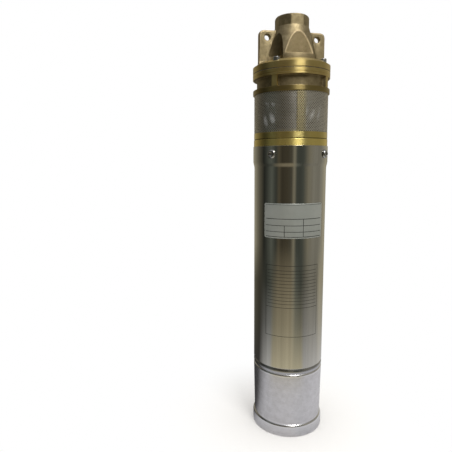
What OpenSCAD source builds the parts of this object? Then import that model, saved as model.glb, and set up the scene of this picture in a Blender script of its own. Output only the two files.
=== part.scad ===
// Borehole pump: a brass peripheral pump end over a shell motor.
// Millimetres, +Z up the shaft, origin at the centre of the bottom face, rope ears on X, front on -Y.

/* [Bottom cap] */
// Height of the cap below the shell
cap_h = 98.1; // [85:0.1:120]
// How far the foot stands out past the shell, on the radius
foot_over = 0.7; // [0.3:0.1:4]
// Height of the foot's straight rim
foot_h = 10; // [5:0.1:12]
// Height of the rounded shoulder above the rim
foot_round_h = 8; // [5:0.1:12]
// How far the body draws in above the foot, on the radius
cap_draw = 1.4; // [0.5:0.1:3]
// Height of the polished bead under the shell
bead_h = 7.4; // [5:0.1:10]
// Wall of the cap
cap_wall = 3; // [2:0.1:5]
// Floor of the cap
cap_floor = 7; // [6:0.1:10]
// Length of the spigot inside the shell
cap_spigot_h = 14; // [10:0.5:20]
// Thread diameter of the oil plug
plug_d = 10; // [8:0.5:14]

/* [Motor shell] */
// Outside diameter of the shell
shell_d = 96; // [94:0.5:100]
// Wall of the shell
shell_wall = 1.5; // [1.2:0.1:2]
// Height of the shell
shell_h = 295.2; // [288:0.1:340]
// Height of the belled top
bell_h = 21; // [19:0.1:24]
// Height of the slope below the belled top
bell_ramp = 6; // [3:0.5:9]
// Widening of the belled top, on the radius
bell_step = 1.5; // [1:0.1:2]
// Thread diameter of the radial shell screws
shell_screw_d = 6; // [5:0.5:8]
// Turn of the radial shell screws from the head screws
shell_screw_turn = -3; // [-6:0.5:6]
// Length of the radial shell screws
shell_screw_l = 10; // [8:0.5:12]
// Height of the rating plate
plate_face_h = 45; // [30:1:60]
// Height of the rating plate's lower edge above the shell's lower end
plate_face_z = 177.5; // [120:0.5:190]
// Arc that the rating plate covers
plate_face_arc = 100.5; // [60:0.5:120]
// Angle at the middle of the rating plate
plate_face_angle = 258.5; // [240:0.5:300]
// Thickness of the rating plate
plate_face_t = 0.3; // [0.2:0.05:0.6]

/* [Stator and rotor] */
// Length of the lamination stack
stack_h = 130; // [110:1:132]
// Bore of the stator
bore_d = 46; // [44:0.5:47]
// Number of slots
slots = 24; // [18:2:24]
// Depth of a slot
slot_depth = 12; // [10:0.5:13]
// Height of the winding beyond each end of the stack
winding_h = 30; // [24:0.5:32]
// Share of the motor's free height that lies below the winding
winding_low = 0.54; // [0.5:0.01:0.6]
// Gap between rotor and stator
air_gap = 0.4; // [0.3:0.05:0.7]
// Shaft diameter in the rotor
rotor_shaft_d = 20; // [18:0.5:22]
// Height of the rotor's end rings
end_ring_h = 9; // [6:0.5:12]
// Width of the rotor's end rings
end_ring_w = 7.5; // [5:0.5:9]

/* [Bearings] */
// Bore of both bearings
bearing_bore = 15; // [15:0.5:17]
// Outside diameter of both bearings
bearing_od = 35; // [34:0.5:38]
// Width of both bearings
bearing_w = 11; // [10:0.5:12]
// Ball diameter
ball_d = 5.95; // [5.5:0.05:6.2]
// Number of balls
balls = 8; // [7:1:8]

/* [Motor bracket and seal plate] */
// Height of the lower brass band
band_h = 9.1; // [7:0.1:14]
// How far the lower band stands back from the belled shell, on the radius
band_inset = 0.75; // [0.3:0.05:1.2]
// Height of the upper brass band
plate_h = 8.3; // [8:0.1:12]
// How far the upper band stands back from the belled shell, on the radius
plate_inset = 1; // [0.5:0.05:1.3]
// Thread diameter of the neck screws
neck_screw_d = 5; // [4:0.5:6]
// Circle that the neck screws lie on, as a radius
neck_screw_r = 27.5; // [27:0.5:28]

/* [Shaft seals] */
// Shaft diameter in the pump
pump_shaft_d = 14; // [13:0.5:14.5]
// Outside diameter of the ceramic seat
seat_d = 26; // [25:0.5:27]
// Thickness of the ceramic seat
seat_t = 6.5; // [6:0.1:8]
// Outside diameter of the carbon face
face_d = 25; // [24:0.5:26]
// Thickness of the carbon face
face_t = 5; // [4:0.1:7]
// Length of the seal spring
seal_spring_h = 16; // [12:0.5:22]
// Wire of the seal spring
seal_wire = 1.4; // [1:0.1:1.8]
// Outside diameter of the lip seal
lip_seal_d = 30; // [28:0.5:32]

/* [Strainer] */
// Height of the strainer
strainer_h = 48.9; // [46:0.1:80]
// Thickness of the strainer sheet
strainer_t = 0.6; // [0.5:0.1:1]
// How far the strainer stands back from the belled shell, on the radius
strainer_inset = 1.15; // [1:0.05:1.3]
// Diameter of a strainer hole
strainer_hole_d = 3; // [1.5:0.1:3.5]
// Rows of strainer holes
strainer_rows = 6; // [4:1:7]
// Strainer holes in one row
strainer_columns = 36; // [24:2:40]

/* [Pump casing] */
// How far the casing flange stands out past the shell, on the radius
casing_over = 2.3; // [2:0.1:4]
// Height of the casing's lower flange
low_flange_h = 6.1; // [5:0.1:9]
// Height of the waist
waist_h = 13.4; // [12:0.1:20]
// Depth of the waist
waist_depth = 5.3; // [4:0.1:6]
// Width of a post in the waist
post_w = 8; // [7.5:0.1:11]
// Height of the casing's top flange
top_flange_h = 7.5; // [6:0.1:12]
// Outside diameter of the neck
neck_d = 41; // [38:0.5:43]
// Wall of the neck
neck_wall = 5; // [4:0.5:5.5]
// Height of the neck's foot
neck_foot_h = 6; // [5:0.5:9]
// Thickness of the head gasket
gasket_t = 0.8; // [0.5:0.1:1.5]

/* [Impeller] */
// Diameter of the impeller
impeller_d = 62; // [58:0.5:63]
// Width of the impeller
impeller_w = 11; // [10:0.5:12]
// Number of vanes
vanes = 36; // [24:2:40]
// Radial length of a vane
vane_l = 6.5; // [5:0.5:8]
// Thickness of a vane
vane_t = 1.8; // [1.2:0.1:2.4]
// Width of the key
key_w = 4; // [3:0.5:5]
// Gap on each side of the impeller
side_gap = 0.4; // [0.3:0.05:0.6]
// Depth of the side channels
channel_depth = 3; // [2:0.1:4]
// Arc of the side channels
channel_arc = 310; // [280:5:325]

/* [Delivery head] */
// Height of the head flange's straight rim
rim_h = 7; // [6:0.1:10]
// Height of the sloped shoulder
shoulder_h = 4; // [3:0.1:6]
// Reach of the sloped shoulder, on the radius
shoulder_w = 5.6; // [4:0.1:6]
// Radius of the ledge under the cone
ledge_r = 34; // [32:0.1:35]
// Height of the ledge
ledge_h = 8.6; // [8:0.1:12]
// Radius of the cone at its foot
cone_low_r = 33; // [31:0.1:34]
// Radius of the cone under the collar
cone_top_r = 22; // [21.5:0.1:23.5]
// Height of the cone
cone_h = 37; // [34:0.1:48]
// Distance of the arched flats from the axis at the cone's foot
arch_r = 27.6; // [26:0.1:29]
// Lean of the arched flats
arch_lean = 5.7; // [3:0.1:8]
// Width of the collar across its flats
collar_af = 41; // [40:0.5:44]
// Height of the collar
collar_h = 13.4; // [10:0.1:20]
// Diameter inside the outlet thread
outlet_d = 30.29; // [28:0.01:31]
// Depth of the outlet thread
outlet_depth = 17; // [16:0.5:22]
// Radius of the scoops beside the ears, which give a key room over the head screws
scoop_r = 16; // [14:0.5:18]
// Distance of a scoop's floor outside the cone's top
scoop_floor = 3; // [2.5:0.1:5]
// Thread diameter of the head screws
head_screw_d = 5; // [4:0.5:6]
// Length of the head screws below the head
head_screw_l = 24; // [20:0.5:26]

/* [Rope ears] */
// Distance of an ear's outer edge from the axis
ear_reach = 45; // [44:0.1:48]
// Thickness of an ear
ear_t = 7; // [5:0.5:10]
// Drop of the ears' top below the cone's top
ear_drop = 3.9; // [0:0.1:6]
// Rounding of an ear's top corner
ear_round = 5; // [2:0.5:8]
// Diameter of the rope eyes
eye_d = 7.4; // [6:0.1:9]
// Distance of the rope eyes from the axis
eye_x = 34; // [33:0.1:36]
// Depth of the rope eyes below the ears' top
eye_drop = 9; // [8:0.1:14]

/* [Check valve] */
// Diameter of the valve bore
valve_bore_d = 28; // [27:0.5:28.5]
// Diameter of the port under the valve
port_d = 18; // [16:0.5:19]
// Thickness of the poppet's disc
poppet_t = 4; // [3:0.5:5]
// Thickness of the poppet's seal
poppet_seal_t = 2; // [1.5:0.1:3]
// Diameter of the poppet's stem
stem_d = 6; // [5:0.5:7]
// Length of the valve spring
valve_spring_h = 18; // [17:0.5:19]
// Wire of the valve spring
valve_wire = 1.2; // [0.8:0.1:1.4]
// Height of the valve cage
cage_h = 5; // [4:0.5:6]
// Lift of the valve
valve_lift = 8; // [5:0.5:9]

/* [Cable entry] */
// Distance of the cable's way from the motor bore
cable_inset = 6.5; // [6.2:0.1:6.8]
// Bore of the cable's way inside
cable_d = 8.6; // [8:0.1:9]
// Bore of the gland's grommet
grommet_d = 7.4; // [7:0.1:7.6]
// Width of the gland across its flats
gland_af = 14; // [13.5:0.5:16]
// Height of the gland body's hexagon
gland_h = 5; // [4:0.5:8]
// Height of the gland nut
gland_nut_h = 8; // [6:0.5:10]
// Insulated diameter of one motor lead
lead_d = 2.4; // [2:0.1:2.5]

/* [Fits] */
// Slip fit between fixed parts, on the radius
fit = 0.1; // [0.08:0.01:0.12]
// Gap between pressed or bonded faces
press = 0.02; // [0.01:0.01:0.05]
// Running clearance in the bearings, on the radius
run = 0.08; // [0.06:0.01:0.1]

/* [Hidden] */
$fn = 96;

// Radii that follow the shell
shell_r = shell_d / 2;
shell_ri = shell_r - shell_wall;
bell_r = shell_r + bell_step;
bell_ri = bell_r - shell_wall;
foot_r = shell_r + foot_over;
band_r = bell_r - band_inset;
plate_r = bell_r - plate_inset;
strainer_r = bell_r - strainer_inset;
strainer_ri = strainer_r - strainer_t;
casing_r = shell_r + casing_over;
low_flange_r = casing_r - 0.25;
waist_r = casing_r - waist_depth;
cable_r = shell_ri - cable_inset;
cable_bore_r = cable_d / 2;
head_screw_r = casing_r - 6.8;
scoop_mid_r = cone_top_r + scoop_floor + scoop_r;
scoop_y = ear_t / 2 + 0.4 + scoop_r;
scoop_x = sqrt(scoop_mid_r ^ 2 - scoop_y ^ 2);

// Heights, from the bottom face up
z_shell = cap_h;
z_bead = z_shell - 1.2 - bead_h;
z_bracket_low = z_shell + cap_spigot_h;
lower_floor = 8;
lower_rim_h = 12;
washer_t = 1.2;
z_lower_bearing = z_bracket_low + lower_floor + washer_t;
z_shell_top = z_shell + shell_h;
z_bell = z_shell_top - bell_h;
z_spigot = z_bell + 1;
cutout_r = 4.5;
z_motor = z_bracket_low + lower_rim_h;
free_h = z_spigot - z_motor - stack_h - 2 * winding_h - 2 * cutout_r;
z_winding = z_motor + winding_low * free_h;
z_stack = z_winding + winding_h;
z_stack_top = z_stack + stack_h;
z_winding_top = z_stack_top + winding_h;
z_upper_bearing = z_shell_top - 19.5 - bearing_w;
z_lip = z_shell_top - 15.5;
lip_h = 7;
z_oil = z_lip + lip_h;
oil_r = lip_seal_d / 2 + 5;
z_shell_screw = z_shell_top - 10.3;
groove_h = 2.6;
z_bracket_groove = z_shell_screw + 5;
z_band = z_shell_top + band_h;
z_plate = z_band + plate_h;
z_seat = z_band + 2.3;
z_face = z_seat + seat_t + 0.05;
z_seal_spring = z_face + face_t;
z_seal_collar = z_seal_spring + seal_spring_h;
z_casing = z_plate + strainer_h;
lip_l = 3;
z_underside = z_casing - lip_l;
z_waist = z_casing + low_flange_h;
z_waist_top = z_waist + waist_h;
z_gasket = z_waist_top + top_flange_h;
z_head = z_gasket + gasket_t;
head_spigot_h = 6;
z_head_low = z_head - head_spigot_h;
z_impeller = z_head_low - side_gap - impeller_w;
z_floor = z_impeller - side_gap;
z_rim = z_head + rim_h;
z_deck = z_rim + shoulder_h;
z_ledge = z_deck + ledge_h;
z_collar = z_ledge + cone_h;
z_top = z_collar + collar_h;
z_ear = z_collar - ear_drop;
z_screw_seat = z_deck - 2.3;
z_valve = z_deck + 6;
z_poppet = z_valve + poppet_seal_t;
z_valve_spring = z_poppet + poppet_t;
z_cage = z_valve_spring + valve_spring_h;

// Pump chamber
chamber_r = impeller_d / 2 + 1.5;
channel_r0 = impeller_d / 2 - vane_l;
channel_r1 = impeller_d / 2 + 0.5;
channel_mid = (channel_r0 + channel_r1) / 2;
channel_start = 120;
pump_shaft_r = pump_shaft_d / 2;
neck_r = neck_d / 2;
neck_ri = neck_r - neck_wall;
neck_foot_r = neck_screw_r + neck_screw_d / 2 + 3;
deck_r = casing_r - shoulder_w;

// Points of an arc in the profile plane
function arc(cx, cz, r, a0, a1, n = 8) =
  [for (i = [0 : n]) let (a = a0 + (a1 - a0) * i / n) [cx + r * cos(a), cz + r * sin(a)]];

module turned(points) {
  rotate_extrude()
    polygon(points);
}

module ring(r0, r1, z0, h) {
  rotate_extrude()
    translate([r0, z0])
      square([r1 - r0, h]);
}

module rod(r, z0, z1) {
  translate([0, 0, z0])
    cylinder(r = r, h = z1 - z0);
}

module o_ring(r, z, section) {
  rotate_extrude()
    translate([r, z])
      circle(d = section, $fn = 32);
}

module around(n, r, first = 0) {
  for (i = [0 : n - 1])
    rotate(first + i * 360 / n)
      translate([r, 0, 0])
        children();
}

module at_cable() {
  translate([0, cable_r, 0])
    children();
}

// Round wire wound about Z, closed at both ends
module coil(r, wire, z0, h, turns) {
  steps = 16 * turns;
  sides = 6;
  rise = h - wire;
  points = [
    for (i = [0 : steps], k = [0 : sides - 1])
      let (a = i * 360 / 16, b = k * 360 / sides, q = r + wire / 2 * cos(b))
        [q * cos(a), q * sin(a), z0 + wire / 2 + rise * i / steps + wire / 2 * sin(b)]
  ];
  walls = [
    for (i = [0 : steps - 1], k = [0 : sides - 1])
      let (m = (k + 1) % sides)
        [i * sides + k, i * sides + m, (i + 1) * sides + m, (i + 1) * sides + k]
  ];
  first = [for (k = [sides - 1 : -1 : 0]) k];
  last = [for (k = [0 : sides - 1]) steps * sides + k];
  polyhedron(points, concat(walls, [first, last]));
}

// Socket screw along -Z with its head's underside at the origin
module socket_screw(d, l, head_d, head_h) {
  difference() {
    union() {
      turned([
        [0, 0], [head_d / 2, 0], [head_d / 2, head_h - 0.6], [head_d / 2 - 0.6, head_h], [0, head_h]
      ]);
      turned([[0, -l], [d / 2 - 0.5, -l], [d / 2, -l + 0.5], [d / 2, 0.2], [0, 0.2]]);
    }
    translate([0, 0, head_h * 0.4])
      cylinder(d = d * 0.92, h = head_h, $fn = 6);
  }
}

// Bearing, as three pieces about Z
bearing_mid_r = (bearing_bore + bearing_od) / 4;
ball_r = ball_d / 2;
race_r = ball_r + run;

module bearing_outer(z) {
  difference() {
    ring(bearing_mid_r + ball_r * 0.72, bearing_od / 2 - press, z, bearing_w);
    o_ring(bearing_mid_r, z + bearing_w / 2, 2 * race_r);
  }
}

module bearing_inner(z) {
  difference() {
    ring(bearing_bore / 2 + press, bearing_mid_r - ball_r * 0.72, z, bearing_w);
    o_ring(bearing_mid_r, z + bearing_w / 2, 2 * race_r);
  }
}

module bearing_balls(z) {
  translate([0, 0, z + bearing_w / 2]) {
    around(balls, bearing_mid_r)
      sphere(r = ball_r);
    difference() {
      ring(bearing_mid_r - 0.8, bearing_mid_r + 0.8, -ball_r - 0.9, ball_d + 1.8);
      around(balls, bearing_mid_r)
        rotate([0, 90, 0])
          cylinder(r = race_r + 0.1, h = ball_d, center = true);
    }
  }
}

// Slot outline, drawn in by a margin on every side
slot_r0 = bore_d / 2 + 1.6;
function slot_half(r) = r * sin(180 / slots) * 0.56;
module slot_outline(margin) {
  r0 = slot_r0 + margin;
  r1 = slot_r0 + slot_depth - margin;
  polygon([
    [r0, -slot_half(r0) + margin], [r1, -slot_half(r1) + margin],
    [r1, slot_half(r1) - margin], [r0, slot_half(r0) - margin]
  ]);
}
slot_gap = 0.05;
liner_t = 0.35;

module bottom_cap() {
  low_r = foot_r - foot_over - cap_draw;
  body_r = shell_r - 0.1;
  groove_r = body_r - 1;
  spigot_r = shell_ri - fit;
  z_body = foot_h + foot_round_h;
  draw = foot_r - low_r;
  round_r = (draw * draw + foot_round_h * foot_round_h) / (2 * draw);
  sweep = asin(foot_round_h / round_r);
  bulge = 1.1;
  bead_r = (bulge * bulge + bead_h * bead_h / 4) / (2 * bulge);
  bead_a = asin(bead_h / 2 / bead_r);
  color([0.72, 0.73, 0.74])
    difference() {
      turned(concat(
        [[0, 0], [foot_r - 1, 0], [foot_r, 1]],
        arc(foot_r - round_r, foot_h, round_r, 0, sweep),
        [[body_r, z_bead - 0.8], [groove_r, z_bead]],
        arc(groove_r + bulge - bead_r, z_bead + bead_h / 2, bead_r, -bead_a, bead_a),
        [
          [groove_r, z_shell], [spigot_r, z_shell], [spigot_r, z_shell + 4], [spigot_r - 2, z_shell + 4],
          [spigot_r - 2, z_shell + 6.6], [spigot_r, z_shell + 6.6], [spigot_r, z_bracket_low],
          [low_r - cap_wall, z_bracket_low], [low_r - cap_wall, cap_floor],
          [plug_d / 2 + 6, cap_floor], [plug_d / 2 + 6, cap_floor + 6], [0, cap_floor + 6]
        ]
      ));
      rod(plug_d / 2 + fit, -1, cap_floor + 8);
      rod(plug_d / 2 + 4.4, -1, 4);
    }
}

module oil_plug() {
  color([0.75, 0.62, 0.3])
    translate([0, 0, 4 - press])
      rotate([180, 0, 0])
        socket_screw(plug_d, cap_floor + 1, plug_d + 8, 3);
}

module cap_o_ring() {
  color([0.1, 0.1, 0.1])
    o_ring(shell_ri - fit - 0.95, z_shell + 5.3, 1.9);
}

module lower_bracket() {
  rim_r = shell_ri - fit;
  pocket_r = bearing_od / 2 + press;
  hub_r = pocket_r + 5;
  z_hub = z_lower_bearing + bearing_w - 1;
  color([0.62, 0.63, 0.65])
    difference() {
      turned([
        [10, z_bracket_low], [rim_r, z_bracket_low], [rim_r, z_bracket_low + lower_rim_h],
        [rim_r - 5, z_bracket_low + lower_rim_h], [rim_r - 5, z_bracket_low + 7],
        [hub_r, z_bracket_low + 7], [hub_r, z_hub], [pocket_r, z_hub],
        [pocket_r, z_bracket_low + lower_floor], [10, z_bracket_low + lower_floor]
      ]);
      around(6, (hub_r + rim_r - 5) / 2)
        rod(4.5, z_bracket_low - 1, z_bracket_low + 9);
    }
}

module wave_washer() {
  color([0.5, 0.52, 0.55])
    ring(bearing_mid_r + ball_r, bearing_od / 2 - 0.2, z_bracket_low + lower_floor, washer_t);
}

module lower_bearing_outer() {
  color([0.8, 0.8, 0.82])
    bearing_outer(z_lower_bearing);
}

module lower_bearing_inner() {
  color([0.8, 0.8, 0.82])
    bearing_inner(z_lower_bearing);
}

module lower_bearing_balls() {
  color([0.9, 0.9, 0.92])
    bearing_balls(z_lower_bearing);
}

module motor_shell() {
  color([0.78, 0.77, 0.72])
    difference() {
      turned([
        [shell_ri, z_shell], [shell_r - 0.4, z_shell], [shell_r, z_shell + 0.4], [shell_r, z_bell - bell_ramp],
        [bell_r, z_bell], [bell_r, z_shell_top - 0.3], [bell_r - 0.3, z_shell_top], [bell_ri, z_shell_top],
        [bell_ri, z_bell], [shell_ri, z_bell - bell_ramp]
      ]);
      at_shell_screws()
        rod(shell_screw_d / 2 + 0.25, -shell_wall - 4, 4);
    }
}

// Places the radial screws with their heads outward
module at_shell_screws() {
  for (a = [45 : 90 : 315])
    rotate(a + shell_screw_turn)
      translate([bell_r + press, 0, z_shell_screw])
        rotate([0, 90, 0])
          children();
}

module rating_plate() {
  z = z_shell + plate_face_z;
  color([0.78, 0.79, 0.8])
    rotate(plate_face_angle - plate_face_arc / 2)
      rotate_extrude(angle = plate_face_arc)
        translate([shell_r + fit, z])
          square([plate_face_t, plate_face_h]);
}

module shell_screws() {
  d = shell_screw_d;
  head_r = d * 0.95;
  head_h = d * 0.5;
  dome_r = (head_r * head_r + head_h * head_h) / (2 * head_h);
  color([0.85, 0.85, 0.86])
    at_shell_screws()
      difference() {
        union() {
          intersection() {
            rod(head_r, 0, head_h);
            translate([0, 0, head_h - dome_r])
              sphere(r = dome_r + 0.4);
          }
          rod(d / 2, -shell_screw_l, 0.2);
        }
        translate([0, 0, head_h * 0.35])
          cylinder(d = d * 0.75, h = head_h, $fn = 6);
      }
}

module stator_core() {
  color([0.45, 0.46, 0.48])
    translate([0, 0, z_stack])
      linear_extrude(stack_h)
        difference() {
          circle(r = shell_ri - press);
          circle(d = bore_d);
          for (i = [0 : slots - 1])
            rotate(i * 360 / slots) {
              slot_outline(0);
              translate([bore_d / 2 - 2, -1.1])
                square([4.5, 2.2]);
            }
        }
}

module slot_liners() {
  color([0.9, 0.86, 0.7])
    translate([0, 0, z_stack])
      linear_extrude(stack_h)
        for (i = [0 : slots - 1])
          rotate(i * 360 / slots)
            difference() {
              slot_outline(slot_gap);
              slot_outline(slot_gap + liner_t);
            }
}

// Coil end, a rounded ring above or below the stack
module coil_end(z) {
  r0 = slot_r0 + 0.6;
  r1 = shell_ri - 1.6;
  c = 3;
  turned(concat(
    arc(r1 - c, z + c, c, -90, 0, 6), arc(r1 - c, z + winding_h - c, c, 0, 90, 6),
    arc(r0 + c, z + winding_h - c, c, 90, 180, 6), arc(r0 + c, z + c, c, 180, 270, 6)
  ));
}

module stator_winding() {
  color([0.72, 0.4, 0.2]) {
    translate([0, 0, z_stack - 2])
      linear_extrude(stack_h + 4)
        for (i = [0 : slots - 1])
          rotate(i * 360 / slots)
            slot_outline(2 * slot_gap + liner_t);
    coil_end(z_winding - press);
    coil_end(z_stack_top + press);
  }
}

module thermal_cutout() {
  color([0.25, 0.25, 0.27])
    translate([-9, -(slot_r0 + shell_ri) / 2, z_winding_top + cutout_r + 2 * press])
      rotate([0, 90, 0]) {
        cylinder(r = cutout_r, h = 18);
        translate([0, 0, -2])
          cylinder(r = cutout_r - 1.2, h = 22);
      }
}

module motor_leads() {
  color([0.15, 0.2, 0.5])
    at_cable()
      around(3, lead_d / 2 + 0.9, 270)
        rod(lead_d / 2, z_winding_top + 0.1, z_head + 2);
}

module motor_shaft() {
  b = bearing_bore / 2;
  s = rotor_shaft_d / 2;
  p = pump_shaft_r;
  z_step = z_oil + 10;
  z_end = z_impeller + impeller_w + 3.2;
  z_clip = z_impeller + impeller_w;
  color([0.7, 0.71, 0.73])
    difference() {
      turned([
        [0, z_lower_bearing - 1], [b - 0.6, z_lower_bearing - 1], [b, z_lower_bearing - 0.4],
        [b, z_lower_bearing + bearing_w], [s, z_lower_bearing + bearing_w], [s, z_upper_bearing],
        [b, z_upper_bearing], [b, z_step - 1], [p, z_step], [p, z_clip + 0.02], [p - 1, z_clip + 0.02],
        [p - 1, z_clip + 1.22], [p, z_clip + 1.22], [p, z_end - 0.6], [p - 0.6, z_end], [0, z_end]
      ]);
      translate([p - key_w / 2, -key_w / 2 - press, z_impeller + 0.5])
        cube([key_w, key_w + 2 * press, impeller_w - 1]);
    }
}

module rotor_core() {
  color([0.4, 0.41, 0.43])
    ring(rotor_shaft_d / 2 + press, bore_d / 2 - air_gap, z_stack, stack_h);
}

module rotor_cage() {
  r1 = bore_d / 2 - air_gap - 1;
  color([0.75, 0.76, 0.78]) {
    ring(r1 - end_ring_w, r1, z_stack - end_ring_h - press, end_ring_h);
    ring(r1 - end_ring_w, r1, z_stack_top + press, end_ring_h);
  }
}

module motor_bracket() {
  r = bell_ri - fit;
  pocket_r = bearing_od / 2 + press;
  hub_r = pocket_r + 6;
  hub_low = z_upper_bearing + 0.5;
  web_low = z_oil + 3;
  color([0.72, 0.6, 0.28])
    difference() {
      turned([
        [pocket_r, hub_low], [hub_r, hub_low], [hub_r, web_low], [cable_r - 6.5, web_low],
        [cable_r - 6.5, z_spigot], [r - 0.5, z_spigot], [r, z_spigot + 0.5], [r, z_bracket_groove],
        [r - 2, z_bracket_groove], [r - 2, z_bracket_groove + groove_h],
        [r, z_bracket_groove + groove_h], [r, z_shell_top], [band_r - 0.6, z_shell_top],
        [band_r, z_shell_top + 0.6], [band_r, z_band - 0.5], [band_r - 0.5, z_band], [oil_r, z_band],
        [oil_r, z_oil], [lip_seal_d / 2 + press, z_oil], [lip_seal_d / 2 + press, z_lip],
        [bearing_bore / 2 + 2.5, z_lip], [bearing_bore / 2 + 2.5, z_upper_bearing + bearing_w],
        [pocket_r, z_upper_bearing + bearing_w]
      ]);
      at_cable()
        rod(cable_bore_r, z_spigot - 1, z_band + 1);
      around(4, neck_screw_r, 45)
        rod(neck_screw_d / 2 + fit, z_band - 12, z_band + 1);
      at_shell_screws()
        rod(shell_screw_d / 2 + fit, -shell_screw_l - 1, 1);
    }
}

module bracket_o_ring() {
  color([0.1, 0.1, 0.1])
    o_ring(bell_ri - fit - 0.95, z_bracket_groove + groove_h / 2, 1.9);
}

module upper_bearing_outer() {
  color([0.8, 0.8, 0.82])
    bearing_outer(z_upper_bearing);
}

module upper_bearing_inner() {
  color([0.8, 0.8, 0.82])
    bearing_inner(z_upper_bearing);
}

module upper_bearing_balls() {
  color([0.9, 0.9, 0.92])
    bearing_balls(z_upper_bearing);
}

module oil_seal() {
  lip_r = bearing_bore / 2 + 0.06;
  color([0.12, 0.12, 0.12])
    turned([
      [lip_r + 1.6, z_lip], [lip_seal_d / 2, z_lip], [lip_seal_d / 2, z_oil - 0.1],
      [lip_seal_d / 2 - 2.5, z_oil - 0.1], [lip_seal_d / 2 - 2.5, z_lip + 2.2], [lip_r + 3.4, z_lip + 2.2],
      [lip_r + 2.4, z_oil - 0.6], [lip_r + 0.9, z_oil - 0.6], [lip_r, z_oil - 2], [lip_r + 1.6, z_oil - 3.2]
    ]);
}

module seal_plate() {
  spigot_r = oil_r - fit;
  color([0.78, 0.64, 0.28])
    difference() {
      turned([
        [12, z_band - 3], [spigot_r, z_band - 3], [spigot_r, z_band - 2.4], [spigot_r - 1.7, z_band - 2.4],
        [spigot_r - 1.7, z_band - 0.5], [spigot_r, z_band - 0.5], [spigot_r, z_band],
        [plate_r - 0.5, z_band], [plate_r, z_band + 0.5], [plate_r, z_plate - 0.4], [plate_r - 0.4, z_plate],
        [strainer_ri - fit, z_plate], [strainer_ri - fit, z_plate + lip_l],
        [strainer_ri - 2, z_plate + lip_l], [strainer_ri - 2, z_plate],
        [seat_d / 2 + press, z_plate], [seat_d / 2 + press, z_seat], [pump_shaft_r + 2, z_seat],
        [pump_shaft_r + 2, z_band - 1], [12, z_band - 1]
      ]);
      at_cable() {
        rod(cable_bore_r, z_band - 1, z_plate);
        rod(cable_bore_r + 1.2 + fit, z_plate - 3, z_plate + lip_l + 1);
      }
      around(4, neck_screw_r, 45)
        rod(neck_screw_d / 2 + 0.25, z_band - 1, z_plate + 1);
    }
}

module plate_o_ring() {
  color([0.1, 0.1, 0.1])
    o_ring(oil_r - fit - 0.8, z_band - 1.45, 1.6);
}

module seal_seat() {
  color([0.93, 0.92, 0.88])
    ring(pump_shaft_r + 1, seat_d / 2, z_seat, seat_t);
}

module seal_face() {
  color([0.15, 0.15, 0.16])
    turned([
      [pump_shaft_r + 0.05, z_face], [face_d / 2 - 2, z_face], [face_d / 2 - 2, z_face + 1.5],
      [face_d / 2, z_face + 1.5], [face_d / 2, z_seal_spring], [pump_shaft_r + 0.05, z_seal_spring]
    ]);
}

module seal_spring() {
  color([0.65, 0.66, 0.68])
    coil(pump_shaft_r + 3.2, seal_wire, z_seal_spring + press, seal_spring_h - 2 * press, 5);
}

module seal_collar() {
  color([0.7, 0.71, 0.73])
    ring(pump_shaft_r + press, face_d / 2, z_seal_collar, 3);
}

module strainer() {
  rows_h = strainer_h - 10;
  color([0.6, 0.61, 0.6])
    difference() {
      ring(strainer_ri, strainer_r, z_plate + press, strainer_h - 2 * press);
      for (row = [0 : strainer_rows - 1])
        translate([0, 0, z_plate + 5 + (row + 0.5) * rows_h / strainer_rows])
          rotate((row % 2) * 180 / strainer_columns)
            around(strainer_columns, strainer_ri - 2)
              rotate([0, 90, 0])
                cylinder(d = strainer_hole_d, h = 5, $fn = 24);
    }
}

module cable_conduit() {
  color([0.75, 0.76, 0.78])
    at_cable()
      ring(cable_bore_r, cable_bore_r + 1.2, z_plate - 3 + press, strainer_h + 3 - 2 * press);
}

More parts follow.
